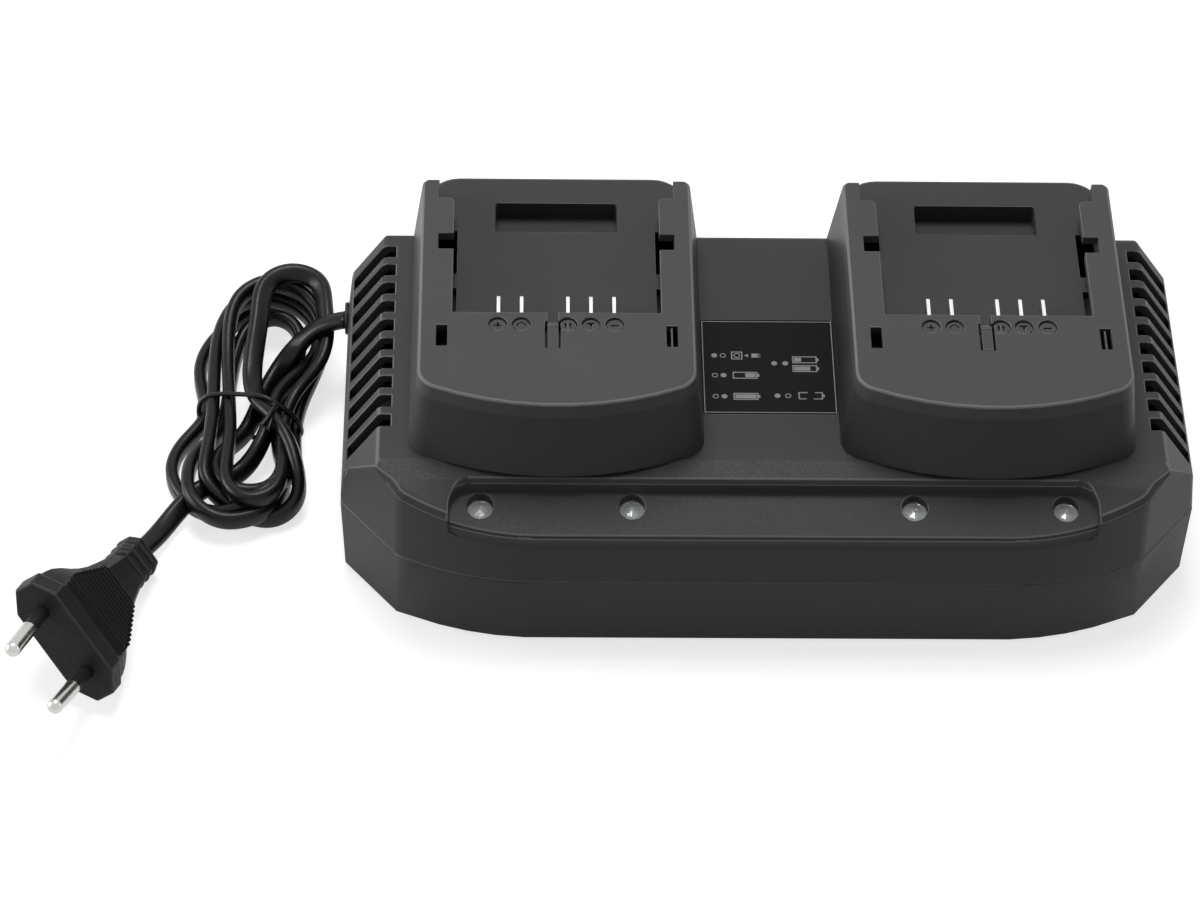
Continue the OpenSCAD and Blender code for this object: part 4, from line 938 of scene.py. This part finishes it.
def build_feet():
    """Four rubber feet with rounded rims, seated in the housing's round hollows."""
    x, y = FEET[0]
    first = post(x, y, 0, 1.8, 5.5, sides=40)
    round_edges(first, 0.5, lambda a, b, n: max(a.z, b.z) < 0.1 and len(n) == 2, 3)
    pick_faces(first, lambda c, n: n.z < -0.9)
    bpy.ops.mesh.inset(thickness=1.6 * MM)
    bpy.ops.transform.translate(value=(0, 0, 0.3 * MM))
    closed(first)
    others = [copied(first, (other[0] - x, other[1] - y, 0)) for other in FEET[1:]]
    hand_over(soften(joined([first] + others), 0), "feet", "foot", ("rubber_feet",))


def build_lamps():
    """Four clear lenses: a ringed rim round a shallow faceted crown."""
    x = LAMPS[0]
    lens = post(x, LAMP_Y, 38.7, 39.35, 3.15, sides=48)
    pick_faces(lens, lambda c, n: n.z > 0.9)
    bpy.ops.mesh.inset(thickness=0.45 * MM)
    bpy.ops.transform.translate(value=(0, 0, -0.25 * MM))
    bpy.ops.mesh.inset(thickness=0.25 * MM)
    closed(lens)
    crown = post(x, LAMP_Y, 38.9, 39.6, 2.6, 0.4, sides=8)
    collar = post(x, LAMP_Y, 37.6, 39, 3.4)
    flange = post(x, LAMP_Y, 37.6, 38.8, 4.15, sides=48)
    weld(lens, crown, collar, flange)
    carve(lens, post(x, LAMP_Y, 36, 38.6, 1.7, sides=24))
    others = [copied(lens, (other - x, 0, 0)) for other in LAMPS[1:]]
    lenses = soften(joined([lens] + others), 0.06, angle=12)
    hand_over(lenses, "lamp_lens_set", "lens", ("lamp_lenses",))


# ---- docks

# Every place in a dock is given about its own middle plane.
POCKET_FRONT, POCKET_FLOOR, DOCK_TOP, LIP_UNDER = -3.5, 64.0, 70.0, 67.4
# The lips' inner faces, the pocket's side walls, where the lips end, and the notch across them.
LIP_X, WALL_X, LIP_END, NOTCH = 26.1, 30.0, 38.0, (19.1, 24.7)
LATCH_X, LATCH_Y, LATCH_FLOOR = 15.6, (31.5, 42.1), 58.5
SLIT_X, SLITS = 25.3, ((-3.5, 11.0), (16.3, 31.7))
HOLE_X, HOLE_Y = 27.2, (-15.2, -8)
BLADES, BLADE_HALF = (-14.6, -8.8, 2.8, 8.6, 14.4), 0.475
PADS, PAD_Y, PAD_R, PAD_RING = (-14.7, -8.85, 2.75, 8.45, 14.4), -7.55, 2.375, 1.95
# The floor of the pads' marks, and a height above everything.
MARK_FLOOR, ABOVE = 68.4, 72
TONGUE_X, TONGUE_HALF, TONGUE_SLOT = -1.0, 1.35, 1.95
DOCK_BOSSES = [(side * x, y) for x, y in DOCK_SCREWS for side in (-1, 1)]
# How far the side and back walls are from the middle, and the radius, centre and steps of the front's arc.
DOCK_HALF, DOCK_BACK, DOCK_ARC, DOCK_ARC_Y, DOCK_ARC_STEP = 37, 48, 82, 43, 5.2


def dock_form(inset, low, high, rounds=False):
    """A dock's outer form, every wall moved inwards by inset."""
    piece = block((-40, -44, low), (40, 50, high))
    cuts = [(Vector((0, DOCK_BACK, TOP)), Vector((0, 22, 3.6)))]
    cuts += [(Vector((DOCK_HALF * side, 0, TOP)), Vector((22 * side, 0, 2.7))) for side in (-1, 1)]
    for k in range(-4, 5):
        a = math.radians(DOCK_ARC_STEP * k)
        cuts.append((Vector((DOCK_ARC * math.sin(a), DOCK_ARC_Y - DOCK_ARC * math.cos(a), TOP)),
                     Vector((22 * math.sin(a), -22 * math.cos(a), 3.6))))
    for spot, away in cuts:
        slice_off(piece, spot - away.normalized() * inset, away)
    if rounds:
        round_edges(piece, 4.2, lambda a, b, n: (
            upright(a, b) and abs(a.z - b.z) > 15 and min(abs(a.x), abs(b.x)) > 33 and a.y < 0), 6)
        round_edges(piece, 1.6, lambda a, b, n: upright(a, b) and abs(a.z - b.z) > 15 and a.y > 30, 3)
    return piece


def dock_shelf():
    """The pocket floor's rounded rear edge, which leans back under itself."""
    shelf = block((-33.2, 36, 53.5), (33.2, 52, POCKET_FLOOR))
    round_edges(shelf, 8.3, lambda a, b, n: abs(a.z - b.z) > 5 and a.y > 50, 7)
    slice_off(shelf, (0, 48, 56), (0, 1, -1))
    slice_off(shelf, (0, 45.5, 54), (0, 2, -2.5))
    slice_off(shelf, (0, 40, 56), (0, -2, -5.5))
    return round_edges(shelf, 1.1, lambda a, b, n: (
        min(a.z, b.z) > POCKET_FLOOR - 0.1 and max(a.y, b.y) > 43.8 and (a - b).length > 0.3
        and min(a.y, b.y) > 40), 3)


def pad_marks():
    """Simple moulded marks in the contact pads: a cross, a curve, two bars, a T and a dash."""

    def bar(x, wide, deep, dy=0.0):
        y = PAD_Y + dy
        return block((x - wide / 2, y - deep / 2, MARK_FLOOR), (x + wide / 2, y + deep / 2, 70.5))

    a, b, c, d, e = PADS
    curve = post(b, PAD_Y, MARK_FLOOR, 70.5, 1.2, sides=24)
    carve(curve, post(b, PAD_Y, 68, 71, 0.8, sides=24))
    carve(curve, block((b - 2, PAD_Y - 2, 68), (b + 2, PAD_Y - 0.1, 71)))
    cross = weld(bar(a, 0.45, 2.2), bar(a, 2.2, 0.45))
    tee = weld(bar(d, 0.45, 1.6, -0.3), bar(d, 2.0, 0.45, 0.7))
    return [cross, curve, bar(c - 0.55, 0.45, 2.0), bar(c + 0.55, 0.45, 2.0), tee, bar(e, 2.1, 0.5)]


def dock_body(sizes):
    """The hollow dock with its pocket, the lips over the pocket's sides, the notch and the latch recess."""
    wall = sizes.wall / MM
    dock = dock_form(0, TOP, DOCK_TOP, rounds=True)
    round_edges(dock, sizes.dock_edge / MM, lambda a, b, n: (
        min(a.z, b.z) > DOCK_TOP - 0.05 and max(a.y, b.y) < 46
        and (abs(a.x) > 34 or a.y < -20 or abs(b.x) > 34)), 3)
    hollow = dock_form(wall, TOP - 1, DOCK_TOP - wall)
    carve(hollow, block((-WALL_X - wall, POCKET_FRONT - wall, POCKET_FLOOR - wall), (WALL_X + wall, 60, 80)))
    carve(hollow, block((-LATCH_X - wall, LATCH_Y[0] - wall, LATCH_FLOOR - wall), (LATCH_X + wall, 60, 80)))
    carve(hollow, joined([post(x, y, 40, 69 if y < 0 else 63, 3.5) for x, y in DOCK_BOSSES]))
    carve(dock, hollow)
    weld(dock, dock_shelf())
    carve(dock, block((-LIP_X, POCKET_FRONT, POCKET_FLOOR), (LIP_X, 60, ABOVE)))
    carve(dock, block((-WALL_X, POCKET_FRONT, POCKET_FLOOR), (WALL_X, 60, LIP_UNDER)))
    carve(dock, block((-WALL_X, LIP_END, POCKET_FLOOR), (WALL_X, 60, ABOVE)))
    round_edges(dock, 1.8, lambda a, b, n: (
        abs(a.z - b.z) > 2 and abs(abs(a.x) - LIP_X) < 0.1 and abs(a.y - LIP_END) < 0.1
        and abs(b.y - LIP_END) < 0.1 and min(a.z, b.z) > 67), 4)
    carve(dock, block((-WALL_X, NOTCH[0], POCKET_FLOOR), (WALL_X, NOTCH[1], ABOVE)))
    latch = block((-LATCH_X, LATCH_Y[0], LATCH_FLOOR), (LATCH_X, LATCH_Y[1], ABOVE))
    round_edges(latch, 0.8, lambda a, b, n: abs(a.z - b.z) > 5, 3)
    return carve(dock, latch)


def build_docks(sizes):
    """Both docks: one is cut about the middle plane, and each is a copy of it in its place."""
    dock = dock_body(sizes)
    openings = []
    for side in (-1, 1):
        near, hole, far = SLIT_X * side, HOLE_X * side, WALL_X * side
        for low, high in SLITS:
            openings.append(block((min(near, far), low, 60.5), (max(near, far), high, 64.8)))
        openings.append(block((min(hole, far), HOLE_Y[0], 66), (max(hole, far), HOLE_Y[1], ABOVE)))
    carve(dock, joined(openings))
    rib = block((28.3, -14.9, 67.6), (28.8, -8.3, 69.5))
    openings = [block((x - 0.58, -8, 64.3), (x + 0.58, POCKET_FRONT + 1, 67.3)) for x in BLADES]
    openings += [post(x, y, 40, 58, 1.55, sides=20) for x, y in DOCK_BOSSES]
    openings += [post(x, PAD_Y, 69.5, 71, PAD_R, sides=40) for x in PADS]
    carve(dock, joined(openings))
    rings = [carve(post(x, PAD_Y, 68.8, 71, PAD_R, sides=40), post(x, PAD_Y, 68, 72, PAD_RING, sides=40))
             for x in PADS]
    carve(dock, joined(rings))
    carve(dock, joined(pad_marks()))
    for half, front, back in ((TONGUE_HALF, -10, POCKET_FRONT + 1), (TONGUE_SLOT, -15.8, -6.4)):
        carve(dock, block((TONGUE_X - half, front, 66.5), (TONGUE_X + half, back, ABOVE)))
    dock = soften(joined([dock, rib]), 0.18)
    for side, name in SIDES:
        piece = copied(dock, (DOCK_X * side, 0, 0))
        hand_over(piece, name + "_dock_moulding", "dock", (name + "_dock",))
    bpy.data.objects.remove(dock)


def build_tongues():
    """The sprung tongues: a thin tab with a rounded nose and a low ridge at its tip."""
    left, right = TONGUE_X - TONGUE_HALF, TONGUE_X + TONGUE_HALF
    tab = block((left, -15.5, 68.0), (right, -6.9, 69.75))
    round_edges(tab, 0.5, lambda a, b, n: min(a.y, b.y) > -7 and min(a.z, b.z) > 69.7, 3)
    ridge = block((left, -8.4, 69.5), (right, -7.5, 70.0))
    round_edges(ridge, 0.25, lambda a, b, n: min(a.z, b.z) > 69.9 and abs(a.x - b.x) > 1, 2)
    weld(tab, ridge)
    for side, name in SIDES:
        piece = soften(copied(tab, (DOCK_X * side, 0, 0)), 0.15)
        hand_over(piece, name + "_sprung_tab", "dock", (name + "_tongue",), name + "_detent")
    bpy.data.objects.remove(tab)


def build_blades():
    """Five tin-plated contact blades in each dock, each one stamping with a coined nose and a leg."""
    arm = block((-BLADE_HALF, -12.5, 64.4), (BLADE_HALF, 5.6, 67.2))
    round_edges(arm, 1.1, lambda a, b, n: min(a.y, b.y) > 5.5 and abs(a.x - b.x) > 0.5, 5)
    leg = block((-BLADE_HALF, -12.5, 49.3), (BLADE_HALF, -9.5, 65))
    round_edges(leg, 0.9, lambda a, b, n: max(a.z, b.z) < 49.4 and abs(a.x - b.x) > 0.5, 2)
    weld(arm, leg)
    for side, name in SIDES:
        blades = joined([copied(arm, (DOCK_X * side + x, 0, 0)) for x in BLADES])
        hand_over(soften(blades, 0.12), name + "_blade_set", "blade",
                  (name + "_contact_blades",))
    bpy.data.objects.remove(arm)


# ---- plug, bush and tie

PLUG_PLACE = Matrix.Translation(Vector((-175.5, -68, 18)) * MM) @ Euler(
    (math.radians(24), math.radians(-44.5), math.radians(142.5)), "XYZ").to_matrix().to_4x4()
PLUG_W, PLUG_T = 33.4, 12.7
# The plug along its length, from its face back: each place, with the width and thickness there.
PLUG_STATIONS = (
    (0, 34.2, 13.3), (-0.5, 35, 13.7), (-5.0, 35, 13.7), (-5.5, 34.4, 13.3), (-5.55, PLUG_W, PLUG_T),
    (-8, PLUG_W - 0.7, PLUG_T), (-10.5, PLUG_W - 2.2, PLUG_T), (-13.5, PLUG_W * 0.84, PLUG_T - 0.2),
    (-16.5, PLUG_W * 0.72, PLUG_T - 0.8), (-19.5, PLUG_W * 0.62, PLUG_T - 1.6),
    (-23, PLUG_W * 0.53, PLUG_T - 2.2), (-27, 15.4, 9.9), (-31, 13.2, 9.2), (-34.2, 11.8, 8.9),
    (-35, 10.6, 8.2), (-46, 9.0, 7.0))
RIB_START, RIB_PITCH, RIB_HALF, RIB_RISE, RIB_DEEP = -7.4, 1.55, 0.38, 0.30, 1.2
RIDGES, RIDGE_START, RIDGE_PITCH = 3, -35.6, 3.6
# Each pin's place in the plug's face, its lean inwards in degrees, and the radius of its hole.
PIN_X, PIN_LEAN, PIN_HOLE = 9.3, 1.66, 1.83
# The bush in overlapping lengths: two places across the housing, and the radius at each.
BUSH = ((-109.3, -108.5, 4.2, 4.4), (-108.8, -106.0, 4.1, 4.1), (-105.95, -104.45, 4.9, 4.9),
        (-106.2, -105.8, 4.1, 4.1), (-104.6, -89.8, 4.1, 3.2))


def plug_outline(w, t):
    """The plug's outline, flat above and below and drawn in to a blunt edge at each side."""
    tip, flat = t * 0.2, w * 0.34
    return [(w / 2, -tip), (w / 2, tip), (flat, t / 2), (-flat, t / 2), (-w / 2, tip), (-w / 2, -tip),
            (-flat, -t / 2), (flat, -t / 2)]


def plug_loft(stations):
    """A moulding drawn out from an eight-sided bar: each station is its place, width and thickness."""
    deselect()
    bpy.ops.mesh.primitive_cylinder_add(vertices=8, radius=1, depth=1)
    bar = bpy.context.object
    outline = plug_outline(*stations[0][1:])
    by_turn = sorted(bar.data.vertices, key=lambda v: (v.co.z, math.atan2(v.co.y, v.co.x)))
    order = sorted(range(8), key=lambda i: math.atan2(outline[i][1], outline[i][0]))
    for level, (y, w, t) in enumerate(stations[:2]):
        ends = plug_outline(w, t)
        for v, i in zip(by_turn[8 * level:8 * level + 8], order):
            v.co = Vector((ends[i][0], y, ends[i][1])) * MM
    bar.data.update()
    for (y0, w0, t0), (y, w, t) in zip(stations[1:], stations[2:]):
        pick_faces(bar, lambda c, n: abs(c.y - y0) < 0.02 and abs(n.y) > 0.99)
        bpy.ops.mesh.extrude_region_move(TRANSFORM_OT_translate={"value": (0, (y - y0) * MM, 0)})
        bpy.ops.transform.resize(value=(w / w0, 1, t / t0), center_override=(0, y * MM, 0))
        closed(bar)
    return face_out(bar)


def grip_ribs(count):
    """Ribs across both flat sides of the plug, shorter and lower where it narrows."""
    ribs = []
    for i in range(count):
        y = RIB_START - i * RIB_PITCH
        half = min(PLUG_W * 0.345, 11.6 - max(0, i - 3) * 0.62)
        rise = PLUG_T / 2 + RIB_RISE - max(0, -13 - y) * 0.115
        for side in (-1, 1):
            top, root = rise * side, (rise - RIB_DEEP) * side
            rib = block((-half, y - RIB_HALF, min(top, root)), (half, y + RIB_HALF, max(top, root)))
            ribs.append(round_edges(rib, 0.22, lambda a, b, n: (
                abs(a.x - b.x) > 3 and min(abs(a.z), abs(b.z)) > rise - 0.05), 2))
    return joined(ribs)


def build_plug(sizes):
    """The moulded plug: stepped face flange, waisted body with grip ribs, and a ridged neck."""
    body = plug_loft(PLUG_STATIONS)
    carve(body, grip_ribs(sizes.grips), "UNION", crossing=True)
    ridges = []
    for i in range(RIDGES):
        y = RIDGE_START - i * RIDGE_PITCH
        ridges.append(plug_loft([
            (y + 0.3, 10.0, 7.8), (y - 0.1, 11.6, 9.0), (y - 1.8, 11.4, 8.8), (y - 2.4, 9.8, 7.4)]))
    weld(body, joined(ridges))
    holes = []
    for side in (-1, 1):
        lean = math.radians(-side * PIN_LEAN)
        ahead = Vector((math.sin(lean), math.cos(lean), 0))
        root = Vector((side * PIN_X, 0, 0))
        holes.append(rod(root - ahead * 6, root + ahead * 2, PIN_HOLE))
    carve(body, joined(holes))
    body.data.transform(PLUG_PLACE)
    # It rests on the floor, a touch above it.
    slice_off(body, (0, 0, 0.02), (0, 0, -1))
    soften(body, 0.3, angle=22, least_highlit_rise=-0.3)
    return hand_over(body, "plug_moulding", "plug", ("plug_body",))


def build_bush(sizes):
    """The tapered bush that holds the lead in the housing's side, with an oval way through for the lead."""
    bars = [rod((x0, LEAD_Y, PARTING), (x1, LEAD_Y, PARTING), r0, r1, sides=40) for x0, x1, r0, r1 in BUSH]
    bush = weld(*bars)
    w, t = (size / MM / 2 + 0.08 for size in (sizes.lead_width, sizes.lead_thick))
    way = block((-112, LEAD_Y - w, PARTING - t), (-88, LEAD_Y + w, PARTING + t))
    round_edges(way, t * 0.98, lambda a, b, n: abs(a.x - b.x) > 5, 6)
    soften(carve(bush, way), 0.2)
    return hand_over(bush, "strain_relief_bush", "relief", ("strain_relief",))


def build_lead(sizes):
    """The flat twin lead in its tied hank, and the line that it follows."""
    line = smooth_route(LEAD_ROUTE, 7)
    lead = sheathed("mains_lead", line, sizes.lead_width / MM, sizes.lead_thick / MM, LEAD_TWIST)
    hand_over(lead, "mains_lead", "lead", ("lead_run", "lead_hank", "lead_tail"))
    return lead, line


def build_tie():
    """A coated wire tie: one loop round the hank's waist and two ends twisted together."""
    loop = smooth_route(TIE_LOOP, 8, ring=True)
    parts = [sheathed("tie", loop, TIE_THICK, TIE_THICK, sides=10, ring=True)]
    parts += [sheathed("tie end", smooth_route(t, 8), TIE_THICK, TIE_THICK, sides=10) for t in TIE_TAILS]
    return hand_over(joined(parts), "lead_tie_wire", "tie", ("lead_tie",))


# ---- label

INK_LINE, RING_LINE, BORDER_LINE, BORDER_EDGE = 0.32, 0.26, 0.22, 0.35
DOT_R, RING_R = 0.75, 0.78
# Charge states in rows, from the panel's middle: a symbol, then its corners, or its place and size.
ICONS = (
    ("dot", -13.7, 3.4), ("ring", -11.5, 3.4), ("outline", -9.4, 2.0, -6.5, 4.8), ("ring", -7.95, 3.4, 0.85),
    ("arrow", -5.4, 3.4, 0.7, 90), ("bar", -4.2, 2.7, -2.6, 4.1), ("bar", -2.6, 3.7, -1.9, 3.95),
    ("bar", -2.6, 2.85, -1.9, 3.1),
    ("ring", -13.7, -3.6), ("dot", -11.5, -3.6), ("battery", -9.2, -4.8, -2.9, -2.4),
    ("bar", -6.0, -4.3, -3.4, -2.9),
    ("ring", -13.7, -11), ("dot", -11.5, -11), ("battery", -9.2, -12.2, -2.9, -9.8),
    ("bar", -8.7, -11.7, -3.4, -10.3),
    ("dot", 1.5, 0.7), ("dot", 4.3, 0.7), ("battery", 6.1, 0.8, 12.4, 3.2), ("bar", 6.6, 1.3, 8.4, 2.7),
    ("battery", 6.1, -2.3, 12.4, 0.1), ("bar", 6.6, -1.8, 10.6, -0.4),
    ("dot", 1.9, -10.7), ("ring", 4.6, -10.7), ("bar", 7.2, -11.9, 9.2, -11.58),
    ("bar", 11.0, -11.9, 13.4, -11.58), ("bar", 7.2, -9.72, 9.6, -9.4), ("bar", 11.4, -9.72, 13.4, -9.4),
    ("bar", 7.2, -11.58, 7.52, -9.72), ("bar", 13.08, -11.58, 13.4, -9.72),
    ("bar", 13.4, -11.1, 13.85, -10.2))


def build_label():
    """A printed film with plain icons: charge states by dots, battery outlines and a plug."""
    low, high = label_box()
    film = block(low, high)
    round_edges(film, 1.2, lambda a, b, n: abs(a.z - b.z) > 0.1, 4)
    hand_over(soften(film, 0.06), "label_film", "film", ("label_panel",))
    z0, z1 = high.z - 0.01, high.z + 0.03
    ink = []

    def bar(x0, y0, x1, y1):
        ink.append(block((x0, y0, z0), (x1, y1, z1)))

    def outline(x0, y0, x1, y1, line=INK_LINE):
        bar(x0, y0, x1, y0 + line)
        bar(x0, y1 - line, x1, y1)
        bar(x0, y0 + line, x0 + line, y1 - line)
        bar(x1 - line, y0 + line, x1, y1 - line)

    def dot(x, y):
        ink.append(post(x, y, z0, z1, DOT_R, sides=24))

    def ring(x, y, r=RING_R):
        outer = post(x, y, z0, z1, r, sides=24)
        ink.append(carve(outer, post(x, y, z0 - 1, z1 + 1, r - RING_LINE, sides=24)))

    def arrow(x, y, size, way):
        ink.append(choose(post(x, y, z0, z1, size, sides=3)))
        bpy.ops.transform.rotate(
            value=math.radians(way), orient_axis="Z", center_override=Vector((x, y, z0)) * MM)

    def battery(x0, y0, x1, y1):
        outline(x0, y0, x1, y1)
        bar(x1, (y0 + y1) / 2 - 0.45, x1 + 0.45, (y0 + y1) / 2 + 0.45)

    outline(low.x + BORDER_EDGE, low.y + BORDER_EDGE, high.x - BORDER_EDGE, high.y - BORDER_EDGE,
            BORDER_LINE)
    symbols = {"bar": bar, "outline": outline, "dot": dot, "ring": ring, "arrow": arrow, "battery": battery}
    for kind, *places in ICONS:
        symbols[kind](*places)
    hand_over(soften(joined(ink), 0), "label_icons", "print")


# ---- operators


class CHARGER_OT_stage(bpy.types.Operator):
    """Sets the camera, the pale floor and the soft studio light"""

    bl_idname = "charger.stage"
    bl_label = "Stage"

    def execute(self, context):
        aim_camera()
        lay_floor()
        light_studio()
        return {"FINISHED"}


class CHARGER_OT_finishes(bpy.types.Operator):
    """Makes every finish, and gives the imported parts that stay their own"""

    bl_idname = "charger.finishes"
    bl_label = "Finishes"

    def execute(self, context):
        make_finishes(context.scene.charger_colours)
        finish_carried_over()
        return {"FINISHED"}


class CHARGER_OT_lead(bpy.types.Operator):
    """Lays the mains lead in its hank, with its tie, bush and plug"""

    bl_idname = "charger.lead"
    bl_label = "Lead and plug"

    def execute(self, context):
        sizes = context.scene.charger_sizes
        lead, line = build_lead(sizes)
        plug, bush, tie = build_plug(sizes), build_bush(sizes), build_tie()
        length = sum((b - a).length for a, b in zip(line, line[1:])) * MM
        [tuple(p * MM) for p in line]
        return {"FINISHED"}


class CHARGER_OT_housings(bpy.types.Operator):
    """Models the upper and lower housing and the rubber feet"""

    bl_idname = "charger.housings"
    bl_label = "Housings"

    def execute(self, context):
        sizes = context.scene.charger_sizes
        build_upper_housing(sizes)
        build_lower_housing(sizes)
        build_feet()
        return {"FINISHED"}


class CHARGER_OT_docks(bpy.types.Operator):
    """Models both docks with their sprung tongues and contact blades"""

    bl_idname = "charger.docks"
    bl_label = "Docks"

    def execute(self, context):
        build_docks(context.scene.charger_sizes)
        build_tongues()
        build_blades()
        return {"FINISHED"}


class CHARGER_OT_lamps(bpy.types.Operator):
    """Models the four lamp lenses"""

    bl_idname = "charger.lamps"
    bl_label = "Lamp lenses"

    def execute(self, context):
        build_lamps()
        return {"FINISHED"}


class CHARGER_OT_label(bpy.types.Operator):
    """Lays the label film and prints its icons"""

    bl_idname = "charger.label"
    bl_label = "Label"

    def execute(self, context):
        build_label()
        return {"FINISHED"}


STEPS = (CHARGER_OT_stage, CHARGER_OT_finishes, CHARGER_OT_lead, CHARGER_OT_housings, CHARGER_OT_docks,
         CHARGER_OT_lamps, CHARGER_OT_label)


class CHARGER_PT_panel(bpy.types.Panel):
    """Lists the charger's sizes, colours and pieces"""

    bl_idname = "CHARGER_PT_panel"
    bl_label = "Battery charger"
    bl_space_type = "VIEW_3D"
    bl_region_type = "UI"
    bl_category = "Charger"

    def draw(self, context):
        for group in (context.scene.charger_sizes, context.scene.charger_colours):
            for key in group.__annotations__:
                self.layout.prop(group, key)
        for step in STEPS:
            self.layout.operator(step.bl_idname)


CLASSES = (ChargerSizes, ChargerColours, *STEPS, CHARGER_PT_panel)


def register():
    for each in CLASSES:
        bpy.utils.register_class(each)
    bpy.types.Scene.charger_sizes = bpy.props.PointerProperty(type=ChargerSizes)
    bpy.types.Scene.charger_colours = bpy.props.PointerProperty(type=ChargerColours)


def unregister():
    del bpy.types.Scene.charger_sizes
    del bpy.types.Scene.charger_colours
    for each in reversed(CLASSES):
        bpy.utils.unregister_class(each)


def main():
    register()
    bpy.ops.charger.stage()
    bpy.ops.charger.finishes()
    bpy.ops.charger.lead()
    bpy.ops.charger.housings()
    bpy.ops.charger.docks()
    bpy.ops.charger.lamps()
    bpy.ops.charger.label()
    deselect()


if __name__ == "__main__":
    main()
